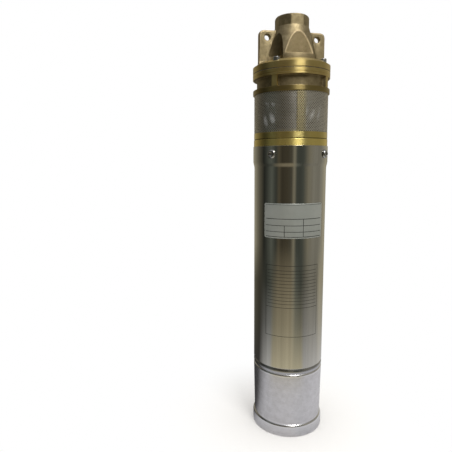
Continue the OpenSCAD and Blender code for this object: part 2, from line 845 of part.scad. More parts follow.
module pump_casing() {
  rib_w = 2 * cable_bore_r + 9;
  post_r = low_flange_r - 0.6;
  shaft_gap_r = pump_shaft_r + 0.4;
  z_seal_roof = z_underside - 2;
  line_z = z_waist_top + 2.4;
  color([0.7, 0.57, 0.26])
    difference() {
      union() {
        turned([
          [neck_ri, z_plate], [neck_foot_r, z_plate], [neck_foot_r, z_plate + neck_foot_h],
          [neck_r, z_plate + neck_foot_h], [neck_r, z_underside], [strainer_ri - fit, z_underside],
          [strainer_ri - fit, z_casing], [low_flange_r - 0.4, z_casing], [low_flange_r, z_casing + 0.4],
          [low_flange_r, z_waist - 0.4], [low_flange_r - 0.4, z_waist], [waist_r, z_waist],
          [waist_r, z_waist_top], [casing_r - 0.4, z_waist_top], [casing_r, z_waist_top + 0.4],
          [casing_r, line_z], [casing_r - 0.6, line_z + 0.5], [casing_r, line_z + 1],
          [casing_r, z_gasket - 0.3], [casing_r - 0.3, z_gasket], [chamber_r, z_gasket], [chamber_r, z_floor],
          [shaft_gap_r, z_floor], [shaft_gap_r, z_seal_roof], [neck_ri, z_seal_roof]
        ]);
        around(4, waist_r - 4, 45)
          translate([0, -post_w / 2, z_waist - 1])
            cube([post_r - waist_r + 4, post_w, waist_h + 2]);
        translate([-rib_w / 2, waist_r - 4, z_waist - 1])
          cube([rib_w, post_r - waist_r + 3, waist_h + 2]);
      }
      translate([0, 0, z_floor - channel_depth])
        rotate(channel_start)
          rotate_extrude(angle = channel_arc)
            translate([channel_r0, 0])
              square([channel_r1 - channel_r0, channel_depth + 1]);
      for (a = [12, 24])
        rotate(channel_start + a)
          translate([channel_mid, 0, 0])
            rod(3.2, z_underside - 1, z_floor);
      around(4, head_screw_r, 45)
        rod(head_screw_d / 2 + fit, z_waist + 0.6, z_gasket + 1);
      around(4, neck_screw_r, 45)
        rod(neck_screw_d / 2 + 0.25, z_plate - 1, z_plate + neck_foot_h + 1);
      at_cable() {
        rod(cable_bore_r, z_underside - 1, z_gasket + 1);
        rod(cable_bore_r + 1.2 + fit, z_underside - 1, z_casing);
        rod(cable_bore_r + 1.2 + 0.5, z_plate - 1, z_plate + neck_foot_h + 1);
      }
    }
}

module neck_screws() {
  color([0.8, 0.8, 0.82])
    around(4, neck_screw_r, 45)
      translate([0, 0, z_plate + neck_foot_h + press])
        socket_screw(neck_screw_d, neck_foot_h + plate_h + 9, neck_screw_d * 1.7, neck_screw_d);
}

module impeller() {
  r = impeller_d / 2;
  web = 3;
  color([0.8, 0.66, 0.3])
    difference() {
      union() {
        translate([0, 0, z_impeller])
          linear_extrude(impeller_w)
            union() {
              circle(r = r - vane_l);
              intersection() {
                circle(r = r);
                for (i = [0 : vanes - 1])
                  rotate(i * 360 / vanes)
                    translate([r - vane_l - 1, -vane_t / 2])
                      square([vane_l + 3, vane_t]);
              }
            }
        rod(r - 0.5, z_impeller + (impeller_w - web) / 2, z_impeller + (impeller_w + web) / 2);
      }
      rod(pump_shaft_r + 0.03, z_impeller - 1, z_impeller + impeller_w + 1);
      translate([0, -key_w / 2 - press, z_impeller - 1])
        cube([pump_shaft_r + key_w / 2 + press, key_w + 2 * press, impeller_w + 2]);
      around(4, r * 0.52)
        rod(3, z_impeller - 1, z_impeller + impeller_w + 1);
    }
}

module impeller_key() {
  color([0.6, 0.61, 0.63])
    translate([pump_shaft_r - key_w / 2 + press, -key_w / 2, z_impeller + 0.5 + press])
      cube([key_w - press, key_w, impeller_w - 1 - 2 * press]);
}

module impeller_clip() {
  color([0.3, 0.3, 0.32])
    translate([0, 0, z_impeller + impeller_w + 0.06])
      rotate(25)
        rotate_extrude(angle = 310)
          translate([pump_shaft_r - 0.95, 0])
            square([3.2, 1.1]);
}

module head_gasket() {
  color([0.16, 0.15, 0.14])
    difference() {
      ring(chamber_r + 0.3, casing_r - 0.7, z_gasket + press, gasket_t - 2 * press);
      around(4, head_screw_r, 45)
        rod(head_screw_d / 2 + 0.25, z_gasket - 1, z_head + 1);
      at_cable()
        rod(cable_bore_r, z_gasket - 1, z_head + 1);
    }
}

// Upright plate with a rounded top corner and a rope eye, on the +X side
module rope_ear() {
  foot = z_rim - 1;
  translate([0, ear_t / 2, 0])
    rotate([90, 0, 0])
      linear_extrude(ear_t)
        difference() {
          polygon(concat(
            [[cone_top_r - 3, foot], [ear_reach, foot]],
            arc(ear_reach - ear_round, z_ear - ear_round, ear_round, 0, 90),
            [[cone_top_r - 3, z_ear]]
          ));
          translate([eye_x, z_ear - eye_drop])
            circle(d = eye_d);
        }
}

// Octagon collar with its top corners turned off
module collar() {
  corner_r = collar_af / 2 / cos(22.5);
  intersection() {
    rotate(22.5)
      translate([0, 0, z_collar - 2])
        cylinder(r = corner_r, h = collar_h + 2, $fn = 8);
    turned([
      [0, z_collar - 3], [corner_r + 1, z_collar - 3], [corner_r + 1, z_top - 2.2],
      [collar_af / 2 - 1.2, z_top], [0, z_top]
    ]);
  }
}

module delivery_head() {
  outlet_r = outlet_d / 2;
  spigot_r = chamber_r - fit;
  z_thread = z_top - outlet_depth;
  passage_z = z_head + 6.6;
  spot_r = gland_af / 2 / cos(30) + 1.2;
  z_gland = z_deck - 2;
  color([0.68, 0.55, 0.25])
    difference() {
      union() {
        difference() {
          turned([
            [0, z_head_low], [spigot_r, z_head_low], [spigot_r, z_head], [casing_r - 0.3, z_head],
            [casing_r, z_head + 0.3], [casing_r, z_rim], [deck_r, z_deck], [ledge_r, z_deck],
            [ledge_r, z_ledge - 1], [ledge_r - 1, z_ledge], [cone_low_r, z_ledge],
            [cone_top_r, z_collar], [0, z_collar]
          ]);
          for (a = [90, 270])
            rotate(a)
              translate([arch_r, -40, z_ledge])
                rotate([0, -arch_lean, 0])
                  cube([30, 80, 70]);
        }
        collar();
        rope_ear();
        mirror([1, 0, 0])
          rope_ear();
      }
      rod(outlet_r, z_thread, z_top + 1);
      translate([0, 0, z_top - 1.2])
        cylinder(r1 = outlet_r - 0.2, r2 = outlet_r + 1.4, h = 1.6);
      rod(valve_bore_d / 2, z_valve, z_thread + 1);
      rod(port_d / 2, z_head + 3, z_valve + 1);
      rod(pump_shaft_r + 6, z_head_low - 1, z_head_low + 5);
      translate([0, 0, z_head_low - 1])
        rotate(channel_start)
          rotate_extrude(angle = channel_arc)
            translate([channel_r0, 0])
              square([channel_r1 - channel_r0, channel_depth + 1]);
      rotate(channel_start + channel_arc - 14) {
        translate([channel_mid, 0, 0])
          rod(3.2, z_head_low, passage_z);
        translate([0, 0, passage_z])
          rotate([0, 90, 0])
            cylinder(r = 3.3, h = channel_mid + 2);
      }
      around(4, head_screw_r, 45) {
        rod(head_screw_d / 2 + 0.25, z_head - 1, z_deck + 1);
        rod(head_screw_d * 0.85 + 0.9, z_screw_seat, z_deck + 8);
      }
      for (sx = [-1, 1], sy = [-1, 1])
        translate([sx * scoop_x, sy * scoop_y, 0])
          rod(scoop_r, z_deck + 0.5, z_collar);
      at_cable() {
        rod(cable_bore_r + 1.7 + fit, z_head - 1, z_deck + 1);
        rod(spot_r, z_gland, z_ledge + 20);
      }
    }
}

module head_screws() {
  color([0.82, 0.82, 0.84])
    around(4, head_screw_r, 45)
      translate([0, 0, z_screw_seat + press])
        socket_screw(head_screw_d, head_screw_l, head_screw_d * 1.7, head_screw_d);
}

module valve_poppet() {
  disc_r = valve_bore_d / 2 - 1.8;
  stem_top = z_cage + cage_h - 1;
  color([0.75, 0.62, 0.3]) {
    turned([
      [0, z_poppet], [disc_r, z_poppet], [disc_r, z_poppet + poppet_t - 1],
      [disc_r - 1, z_poppet + poppet_t], [stem_d / 2, z_poppet + poppet_t],
      [stem_d / 2, stem_top - 0.8], [stem_d / 2 - 0.8, stem_top], [0, stem_top]
    ]);
    rod(stem_d / 2, z_poppet - poppet_seal_t - 4, z_poppet + 1);
  }
}

module poppet_seal() {
  color([0.1, 0.1, 0.1])
    ring(stem_d / 2 + 0.05, valve_bore_d / 2 - 1.8, z_valve + press, poppet_seal_t - 2 * press);
}

module valve_spring() {
  color([0.7, 0.71, 0.73])
    coil(stem_d / 2 + 2.6, valve_wire, z_valve_spring + 0.1, valve_spring_h - 0.2, 5);
}

module valve_cage() {
  r = valve_bore_d / 2 - fit;
  hub_r = stem_d / 2 + 3.6;
  color([0.78, 0.64, 0.3])
    translate([0, 0, z_cage])
      difference() {
        union() {
          ring(r - 2, r, 0, cage_h);
          rod(hub_r, 0, cage_h);
          for (a = [0 : 120 : 240])
            rotate(a)
              translate([hub_r - 1, -1.6, 0])
                cube([r - hub_r - 0.5, 3.2, cage_h]);
        }
        rod(stem_d / 2 + 0.1, -1, cage_h + 1);
      }
}

module gland_body() {
  corner_r = gland_af / 2 / cos(30);
  z_seat_face = z_deck - 2 + press;
  color([0.74, 0.6, 0.28])
    at_cable()
      difference() {
        union() {
          translate([0, 0, z_seat_face])
            cylinder(r = corner_r, h = gland_h, $fn = 6);
          rod(cable_bore_r + 1.7, z_head + 0.5, z_seat_face + 1);
        }
        rod(cable_bore_r, z_head - 1, z_deck + gland_h + 1);
      }
}

module gland_nut() {
  corner_r = gland_af / 2 / cos(30);
  z0 = z_deck - 2 + gland_h + 2 * press;
  color([0.74, 0.6, 0.28])
    at_cable()
      difference() {
        intersection() {
          translate([0, 0, z0])
            cylinder(r = corner_r, h = gland_nut_h, $fn = 6);
          turned([
            [0, z0], [corner_r + 1, z0], [corner_r + 1, z0 + gland_nut_h - 3],
            [corner_r - 2, z0 + gland_nut_h], [0, z0 + gland_nut_h]
          ]);
        }
        rod(cable_bore_r + 1.4 + fit, z0 - 1, z0 + gland_nut_h - 1);
        rod(cable_bore_r + 0.6, z0, z0 + gland_nut_h + 1);
      }
}

module gland_grommet() {
  z0 = z_deck - 2 + gland_h + 2 * press;
  color([0.12, 0.12, 0.12])
    at_cable()
      turned([
        [grommet_d / 2, z0 + press], [cable_bore_r + 1.4, z0 + press],
        [cable_bore_r + 1.4, z0 + gland_nut_h - 1.1], [cable_bore_r + 0.5, z0 + gland_nut_h - 1.1],
        [cable_bore_r + 0.5, z0 + gland_nut_h - 0.4], [grommet_d / 2, z0 + gland_nut_h - 0.4]
      ]);
}

bottom_cap();
oil_plug();
cap_o_ring();
lower_bracket();
wave_washer();
lower_bearing_outer();
lower_bearing_inner();
lower_bearing_balls();
motor_shell();
rating_plate();
shell_screws();
stator_core();
slot_liners();
stator_winding();
thermal_cutout();
motor_leads();
motor_shaft();
rotor_core();
rotor_cage();
motor_bracket();
bracket_o_ring();
upper_bearing_outer();
upper_bearing_inner();
upper_bearing_balls();
oil_seal();
seal_plate();
plate_o_ring();
seal_seat();
seal_face();
seal_spring();
seal_collar();
strainer();
cable_conduit();
pump_casing();
neck_screws();
impeller();
impeller_key();
impeller_clip();
head_gasket();
delivery_head();
head_screws();
valve_poppet();
poppet_seal();
valve_spring();
valve_cage();
gland_body();
gland_nut();
gland_grommet();
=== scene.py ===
import math

import bpy
import numpy as np
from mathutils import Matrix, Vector


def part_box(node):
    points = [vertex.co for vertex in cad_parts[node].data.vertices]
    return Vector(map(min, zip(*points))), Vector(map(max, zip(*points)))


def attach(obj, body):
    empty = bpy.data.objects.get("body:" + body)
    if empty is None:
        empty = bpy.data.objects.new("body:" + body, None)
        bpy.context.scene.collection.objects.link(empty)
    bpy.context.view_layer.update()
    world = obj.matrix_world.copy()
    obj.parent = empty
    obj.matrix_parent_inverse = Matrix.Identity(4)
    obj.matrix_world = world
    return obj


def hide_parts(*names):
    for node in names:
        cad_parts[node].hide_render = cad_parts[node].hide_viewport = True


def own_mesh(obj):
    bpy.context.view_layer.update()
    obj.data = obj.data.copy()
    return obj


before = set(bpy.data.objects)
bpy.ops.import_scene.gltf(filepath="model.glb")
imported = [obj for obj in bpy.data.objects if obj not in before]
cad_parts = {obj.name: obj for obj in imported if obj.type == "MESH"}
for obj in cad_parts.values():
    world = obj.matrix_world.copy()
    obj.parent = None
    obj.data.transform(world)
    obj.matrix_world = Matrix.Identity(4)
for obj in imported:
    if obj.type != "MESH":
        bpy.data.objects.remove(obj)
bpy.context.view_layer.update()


# Bottom cap: an aluminium cup, turned and left satin, that closes the motor and stands on a flanged foot.
# The spigot above its bead slides into the shell. The bead, the shoulder under it and the top edge of the
# foot are polished. The bead's colour is painted darker as painted shade, and the shoulder and the foot's
# top edge are painted lighter as a painted highlight.
def extent(name):
    """Lower end, upper end and reach from the pump's axis of a solid, in mm to a hundredth."""
    low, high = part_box(name)
    return tuple(round(float(length) * 1000, 2) for length in (low[2], high[2], high[0]))


def arc(r, z, radius, start, end, steps):
    """Corners without fillets on a circle about a point (radius, height), between two angles in degrees."""
    a = np.radians(np.linspace(start, end, steps))
    return np.stack([r + radius * np.cos(a), z + radius * np.sin(a), 0 * a], 1)


def rounded(corners, steps=5):
    """Closed outline through corners (radius, height, fillet) in mm. A fillet is a parabola between the two
    points one fillet away along the corner's sides, with one more point beyond it on each side, so that
    flats stay flat. A corner without a fillet stays one point."""
    given = np.array(corners, float)
    corner, fillet = given[:, :2], given[:, 2:]
    back, on = np.roll(corner, 1, 0) - corner, np.roll(corner, -1, 0) - corner
    back_l, on_l = (np.linalg.norm(side, axis=1, keepdims=True) for side in (back, on))
    cut = np.minimum(fillet, 0.4 * np.minimum(back_l, on_l))
    start, end = corner + back / back_l * cut, corner + on / on_l * cut
    s = np.linspace(0, 1, steps)[None, :, None]
    curve = (1 - s) ** 2 * start[:, None] + 2 * s * (1 - s) * corner[:, None] + s**2 * end[:, None]
    before = corner + back / back_l * (cut + np.minimum(0.3, 0.08 * back_l))
    after = corner + on / on_l * (cut + np.minimum(0.3, 0.08 * on_l))
    rows = np.concatenate([before[:, None], curve, after[:, None]], 1)
    keep = np.repeat(fillet > 0, steps + 2, 1)
    keep[:, steps // 2 + 1] = True
    return rows[keep]


def full_turn(steps):
    """Angles in equal steps once round, as a column."""
    return np.linspace(0, 2 * np.pi, steps, endpoint=False)[:, None]


def at_angle(r, angle, z):
    """Points from radii, angles and heights: radius times cosine and sine of the angle, and height."""
    return np.stack(np.broadcast_arrays(r * np.cos(angle), r * np.sin(angle), z), -1)


def turned(outline, around=192):
    """Grid of an outline (radius, height) that is turned about the axis."""
    return at_angle(outline[:, 0], full_turn(around), outline[:, 1])[None]


def near(z, middle, half, power=6):
    """Mask that is 1 at a place and 0 well past half its width: e to minus a power of distance over half."""
    return np.exp(-(((z - middle) / half) ** power))


def mesh_piece(name, points, loops, sizes, uv, fields):
    """Object from points in metres and faces given as corner lists, smooth except at sharp edges."""
    mesh = bpy.data.meshes.new(name)
    mesh.vertices.add(len(points))
    mesh.vertices.foreach_set("co", np.ascontiguousarray(points, np.float32).ravel())
    mesh.loops.add(len(loops))
    mesh.loops.foreach_set("vertex_index", loops.astype(np.int32))
    mesh.polygons.add(len(sizes))
    mesh.polygons.foreach_set("loop_start", (np.cumsum(sizes) - sizes).astype(np.int32))
    mesh.update(calc_edges=True)
    mesh.uv_layers.new(name="turn").data.foreach_set("uv", uv.astype(np.float32).ravel())
    for key, value in fields.items():
        field = mesh.attributes.new(key, "FLOAT", "POINT")
        field.data.foreach_set("value", value.astype(np.float32).ravel())
    mesh.validate()
    mesh.shade_smooth()
    mesh.set_sharp_from_angle(angle=math.radians(50))
    piece = bpy.data.objects.new(name, mesh)
    bpy.context.scene.collection.objects.link(piece)
    return piece


def solid(name, grid, ends=False, **fields):
    """Mesh of points in mm on a grid (copy, step round, step along): a quad between each four neighbours,
    closed round and along, or with flat ends where the surface starts and stops. Fields are values kept on
    the points. The UV map runs once round, and along by metres."""
    copies, steps, rows, _ = grid.shape
    index = np.arange(copies * steps * rows).reshape(copies, steps, rows)
    bands = rows - 1 if ends else rows
    beside = np.roll(index, -1, 1)
    quads = np.stack([index, beside, np.roll(beside, -1, 2), np.roll(index, -1, 2)], -1)
    quads = quads[:, :, :bands].reshape(-1, 4)
    points = grid.reshape(-1, 3) / 1000
    p = points[quads]
    inside_out = (p[:, 0] * np.cross(p[:, 1] - p[:, 0], p[:, 2] - p[:, 0])).sum() < 0
    length = np.linalg.norm(np.diff(grid[0, 0], axis=0, append=grid[0, 0][:1]), axis=1) / 1000
    run = np.concatenate([[0], np.cumsum(length)])
    u0, v0 = np.meshgrid(np.arange(steps) / steps, run[:bands], indexing="ij")
    u1, v1 = np.meshgrid((np.arange(steps) + 1) / steps, run[1 : bands + 1], indexing="ij")
    uv = np.stack([u0, v0, u1, v0, u1, v1, u0, v1], -1).reshape(-1, 4, 2)
    uv = np.tile(uv, (copies, 1, 1))
    if inside_out:
        quads, uv = quads[:, ::-1], uv[:, ::-1]
    loops, sizes, uv = quads.ravel(), np.full(len(quads), 4), uv.reshape(-1, 2)
    if ends:
        first, last = index[:, :, 0], index[:, ::-1, -1]
        if not inside_out:
            first, last = first[:, ::-1], last[:, ::-1]
        loops = np.concatenate([loops, first.ravel(), last.ravel()])
        sizes = np.concatenate([sizes, np.full(2 * copies, steps)])
        uv = np.concatenate([uv, np.zeros((2 * copies * steps, 2))])
    return mesh_piece(name, points, loops, sizes, uv, fields)


def add(tree, kind, sockets=None, **settings):
    """One node in a tree. Settings are its own properties, and sockets its inputs: values or outputs."""
    made = tree.nodes.new("ShaderNode" + kind)
    for key, value in settings.items():
        setattr(made, key, value)
    for key, value in (sockets or {}).items():
        if isinstance(value, bpy.types.NodeSocket):
            tree.links.new(value, made.inputs[key])
        else:
            made.inputs[key].default_value = value
    return made


def ramp(tree, factor, *stops):
    """Colour ramp over a factor. Stops are a place and one grey value or three colour values."""
    made = add(tree, "ValToRGB", {"Fac": factor})
    band = made.color_ramp.elements
    while len(band) < len(stops):
        band.new(0.5)
    for stop, (place, tone) in zip(band, stops):
        stop.position = place
        stop.color = (tone, tone, tone, 1) if isinstance(tone, float) else (*tone, 1)
    return made.outputs["Color"]


marks = bpy.data.node_groups.new("surface_marks", "ShaderNodeTree")
marks.interface.new_socket("Vector", in_out="INPUT", socket_type="NodeSocketVector")
here = marks.nodes.new("NodeGroupInput").outputs["Vector"]
marks_out = marks.nodes.new("NodeGroupOutput")
for label, stretch, size in (
    ("Cloud", (1, 1, 1), 38),
    ("Patch", (1, 1, 1), 150),
    ("Grain", (1, 1, 1), 720),
    ("Lines", (12, 12, 2600), 1),
    ("Drawn", (1500, 1500, 9), 1),
    ("Streak", (170, 170, 3), 1),
):
    marks.interface.new_socket(label, in_out="OUTPUT", socket_type="NodeSocketFloat")
    spread = add(marks, "Mapping", {"Vector": here, "Scale": stretch})
    grain = {"Vector": spread.outputs[0], "Scale": size, "Detail": 4, "Roughness": 0.6}
    marks.links.new(add(marks, "TexNoise", grain).outputs["Fac"], marks_out.inputs[label])


def finish(name, dark, light, rough, mark, height, metal=1.0, cloud="Cloud", smear=0.0):
    """Material whose colour drifts between two shades, with one kind of fine mark in its roughness and its
    relief, whose height is in mm. Smear draws highlights out across marks that run round the axis."""
    made = bpy.data.materials.new(name)
    made.use_nodes = True
    tree = made.node_tree
    skin = tree.nodes["Principled BSDF"]
    skin.inputs["Metallic"].default_value = metal
    seen = add(tree, "Group", node_tree=marks)
    tree.links.new(add(tree, "TexCoord").outputs["Object"], seen.inputs["Vector"])
    shade = ramp(tree, seen.outputs[cloud], (0.32, dark), (0.68, light))
    sheen = ramp(tree, seen.outputs[mark], (0.3, rough[0]), (0.7, rough[1]))
    relief = add(tree, "Bump", {"Height": seen.outputs[mark], "Distance": height / 1000, "Strength": 1.0})
    for socket, feed in (("Base Color", shade), ("Roughness", sheen), ("Normal", relief.outputs["Normal"])):
        tree.links.new(feed, skin.inputs[socket])
    if smear:
        skin.inputs["Anisotropic"].default_value = smear
        skin.inputs["Anisotropic Rotation"].default_value = 0.25
        run = add(tree, "Tangent", direction_type="UV_MAP", uv_map="turn")
        tree.links.new(run.outputs["Tangent"], skin.inputs["Tangent"])
    return made


def lay(look, mask, socket, value):
    """Lays a number or a colour over what feeds a socket of a look, where a mask is 1. The mask is the name
    of a field on the piece's points, or an output in the look's tree."""
    tree = look.node_tree
    if isinstance(mask, str):
        mask = add(tree, "Attribute", attribute_name=mask).outputs["Fac"]
    target = tree.nodes["Principled BSDF"].inputs[socket]
    under = target.links[0].from_socket
    if isinstance(value, tuple):
        over = add(tree, "Mix", {0: mask, 6: under, 7: (*value, 1)}, data_type="RGBA").outputs[2]
    else:
        over = add(tree, "Mix", {0: mask, 2: under, 3: value}, data_type="FLOAT").outputs[0]
    tree.links.new(over, target)


def fit(piece, look, stands_for):
    """Puts a look on a piece, lets it ride the pump's body, and hides the solid that it stands for."""
    piece.data.materials.append(look)
    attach(piece, "pump_body")
    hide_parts(stands_for)


cap_low, cap_top, foot_r = extent("bottom_cap")
shell_low, shell_top, bell_r = extent("motor_shell")
foot_h, foot_round, foot_sweep = 13.4, 4.49, 57.8
wall_r, shoulder_z, shoulder_round, shoulder_sweep = 47.9, 87.3, 2.92, 46
bead_r, bead_z, bead_round, bead_sweep = 48.0, 93.2, 6.77, 33.1
spigot_r, cap_bore_r, floor_top = 46.4, 43.6, 7
boss_r, boss_top, plug_bore_r, plug_seat_r, plug_seat_z = 11, 13, 5.1, 9.5, 4
foot_edge = arc(foot_r - foot_round, foot_h, foot_round, 0, foot_sweep, 12)
shoulder = arc(wall_r - shoulder_round, shoulder_z, shoulder_round, 0, shoulder_sweep, 9)
bead = arc(bead_r - bead_round, bead_z, bead_round, -bead_sweep, bead_sweep, 13)
satin_z = np.array([19.0, 85.0])
satin_r = np.interp(satin_z, (foot_edge[-1, 1], shoulder_z), (foot_edge[-1, 0], wall_r))
satin_ends = np.stack([satin_r, satin_z, 0 * satin_z], 1)
cap_outline = rounded([
    (plug_seat_r, cap_low, 0.4), (foot_r, cap_low, 0.9), *foot_edge, *satin_ends, *shoulder, *bead,
    (spigot_r + 0.5, shell_low, 0.1), (spigot_r, shell_low, 0.1), (spigot_r, cap_top, 0.4),
    (cap_bore_r, cap_top, 0.3), (cap_bore_r, floor_top, 1.5), (boss_r, floor_top, 0.6),
    (boss_r, boss_top, 0.4), (plug_bore_r, boss_top, 0.2), (plug_bore_r, plug_seat_z, 0.2),
    (plug_seat_r, plug_seat_z, 0.2),
])
cap_grid = turned(cap_outline)
cap_z = cap_grid[..., 2]
outside = np.hypot(cap_grid[..., 0], cap_grid[..., 1]) > cap_bore_r + 1.4
# Masks for polish (roughness) and for painted shade on the bead and a painted highlight on the edges.
bead_polish_and_shade = near(cap_z, bead_z + 0.3, 3.9, 8) * outside
edge_polish_and_highlight = (near(cap_z, foot_h + 2, 2.2) + near(cap_z, shoulder_z + 1, 1.6)) * outside
cap = solid("bottom_cup", cap_grid, bead=bead_polish_and_shade, edge=edge_polish_and_highlight)
satin = finish(
    "satin_cap", (0.64, 0.63, 0.635), (0.76, 0.75, 0.77), (0.26, 0.36), "Lines", 0.0025, cloud="Patch"
)
# Painted shade: the bead's base colour is darker. Painted highlight: the shoulder and foot edge are lighter.
for place, tone in (("bead", (0.50, 0.50, 0.515)), ("edge", (0.88, 0.875, 0.89))):
    lay(satin, place, "Roughness", 0.24)
    lay(satin, place, "Base Color", tone)
fit(cap, satin, "bottom_cap")


# Filler plug and static seals: the plug is a brass socket screw under the cap, where the motor is filled
# with oil. The seals are moulded nitrile: rings in turned grooves, and a lip seal pressed into the bracket.
def dress(look, *names):
    """Puts a look on solids that keep their own shape."""
    for name in names:
        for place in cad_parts[name].material_slots:
            place.material = look


plug_brass = finish("plug_brass", (0.62, 0.45, 0.17), (0.76, 0.58, 0.25), (0.22, 0.36), "Grain", 0.02)
rubber = finish("black_rubber", (0.012, 0.012, 0.013), (0.03, 0.03, 0.031), (0.55, 0.75), "Grain", 0.03, 0.0)
dress(plug_brass, "oil_plug")
dress(rubber, "cap_o_ring", "bracket_o_ring", "plate_o_ring", "oil_seal")

# Motor: die cast lower bracket, ball bearings with a wave washer, a stack of punched laminations with paper
# slot liners and a copper winding, and a cast cage rotor on a ground shaft. The cut-out is tied to the
# winding.
casting = finish("cast_aluminium", (0.42, 0.43, 0.44), (0.58, 0.58, 0.59), (0.45, 0.62), "Grain", 0.08)
bearing = finish("bearing_steel", (0.58, 0.58, 0.59), (0.66, 0.66, 0.67), (0.08, 0.16), "Lines", 0.004)
shaft = finish("shaft_steel", (0.52, 0.52, 0.53), (0.62, 0.62, 0.62), (0.16, 0.28), "Lines", 0.008)
punched = finish("lamination_steel", (0.20, 0.20, 0.22), (0.30, 0.30, 0.31), (0.4, 0.55), "Lines", 0.06)
copper = finish("copper_wire", (0.42, 0.13, 0.05), (0.62, 0.24, 0.10), (0.25, 0.4), "Grain", 0.25)
paper = finish("slot_paper", (0.62, 0.55, 0.40), (0.74, 0.68, 0.52), (0.7, 0.85), "Grain", 0.05, 0.0)
lead = finish("lead_insulation", (0.03, 0.03, 0.035), (0.06, 0.06, 0.065), (0.4, 0.55), "Drawn", 0.02, 0.0)
case = finish("cutout_case", (0.10, 0.09, 0.08), (0.17, 0.15, 0.13), (0.4, 0.55), "Grain", 0.03, 0.0)
wire = finish("spring_wire", (0.50, 0.50, 0.50), (0.60, 0.60, 0.60), (0.2, 0.32), "Drawn", 0.01)
dress(casting, "lower_bracket", "rotor_cage")
for end in ("lower", "upper"):
    dress(bearing, f"{end}_bearing_outer", f"{end}_bearing_inner", f"{end}_bearing_balls")
dress(shaft, "motor_shaft", "impeller_key", "impeller_clip")
dress(punched, "stator_core", "rotor_core")
dress(copper, "stator_winding")
dress(paper, "slot_liners")
dress(lead, "motor_leads")
dress(case, "thermal_cutout")
dress(wire, "wave_washer", "seal_spring")

# Motor shell: drawn stainless tube, polished, with a belled top that slips over the brass bracket.
# A block of plain rules is etched into its lower half.
shell_t = 1.5
tube_r = bell_r - shell_t
bell_low = shell_top - 21
bell_foot = bell_low - 6
shell_outline = rounded([
    (tube_r - shell_t, shell_low, 0.2), (tube_r, shell_low, 0.5), (tube_r, bell_foot, 2.0),
    (bell_r, bell_low, 2.0), (bell_r, shell_top, 0.35), (tube_r, shell_top, 0.2), (tube_r, bell_low, 1.5),
    (tube_r - shell_t, bell_foot, 1.5),
])
shell = solid("shell_tube", turned(shell_outline, 256))


def maths(tree, operation, *values):
    """Result of one maths node over one or two values."""
    return add(tree, "Math", dict(enumerate(values)), operation=operation).outputs[0]


rule = bpy.data.node_groups.new("rule", "ShaderNodeTree")
for label in ("Across", "At", "Along", "From", "To", "Width"):
    rule.interface.new_socket(label, in_out="INPUT", socket_type="NodeSocketFloat")
rule.interface.new_socket("Mask", in_out="OUTPUT", socket_type="NodeSocketFloat")
given = rule.nodes.new("NodeGroupInput").outputs
aside = maths(rule, "ABSOLUTE", maths(rule, "SUBTRACT", given["Across"], given["At"]))
within = maths(rule, "LESS_THAN", aside, given["Width"])
after = maths(rule, "GREATER_THAN", given["Along"], given["From"])
before = maths(rule, "LESS_THAN", given["Along"], given["To"])
line = maths(rule, "MULTIPLY", within, maths(rule, "MULTIPLY", after, before))
rule.links.new(line, rule.nodes.new("NodeGroupOutput").inputs["Mask"])


def ruled(tree, u, v, lines):
    """Mask of thin straight rules. A line is the way it runs, its place, its two ends and half its width."""
    total = None
    for way, at, start, end, width in lines:
        across, along = (v, u) if way == "flat" else (u, v)
        sockets = {"Across": across, "At": at, "Along": along, "From": start, "To": end, "Width": width}
        mask = add(tree, "Group", sockets, node_tree=rule).outputs["Mask"]
        total = mask if total is None else maths(tree, "MAXIMUM", total, mask)
    return total


polished = finish(
    "polished_stainless", (0.595, 0.58, 0.53), (0.69, 0.675, 0.62), (0.06, 0.11), "Drawn", 0.0012,
    cloud="Streak",
)
etch_left, etch_right, row_inset = 0.589, 0.836, 0.008
etch_low, etch_split, etch_top = 0.1435, 0.183, 0.2395
etch_rows = np.linspace(etch_split + 0.005, etch_top - 0.0065, 11)
etch_lines = [("flat", z, etch_left + row_inset, etch_right - row_inset, 0.00028) for z in etch_rows]
etch_lines += [("flat", z, etch_left, etch_right, 0.0003) for z in (etch_low, etch_split, etch_top)]
etch_lines += [("up", turn, etch_low, etch_top, 0.001) for turn in (etch_left, etch_right)]
tree = polished.node_tree
etch_turn = add(tree, "SeparateXYZ", {0: add(tree, "UVMap", uv_map="turn").outputs[0]}).outputs["X"]
etch_height = add(tree, "SeparateXYZ", {0: add(tree, "TexCoord").outputs["Object"]}).outputs["Z"]
etched = ruled(tree, etch_turn, etch_height, etch_lines)
lay(polished, etched, "Base Color", (0.10, 0.095, 0.085))
lay(polished, etched, "Roughness", 0.55)
fit(shell, polished, "motor_shell")


# Rating plate: thin metal foil with rounded corners, bent round the shell and glued to it.
# Its face is etched, bare above and ruled into cells below.
def open_sheet(name, points):
    """Open mesh of points in metres on a grid, a quad between each four neighbours. The UV map runs from 0
    to 1 along both ways of the grid."""
    n, m, _ = points.shape
    index = np.arange(n * m).reshape(n, m)
    quads = np.stack([index[:-1, :-1], index[1:, :-1], index[1:, 1:], index[:-1, 1:]], -1).reshape(-1, 4)
    u, v = np.meshgrid(np.linspace(0, 1, n), np.linspace(0, 1, m), indexing="ij")
    uv = np.stack([u, v], -1).reshape(-1, 2)[quads.ravel()]
    return mesh_piece(name, points.reshape(-1, 3), quads.ravel(), np.full(len(quads), 4), uv, {})


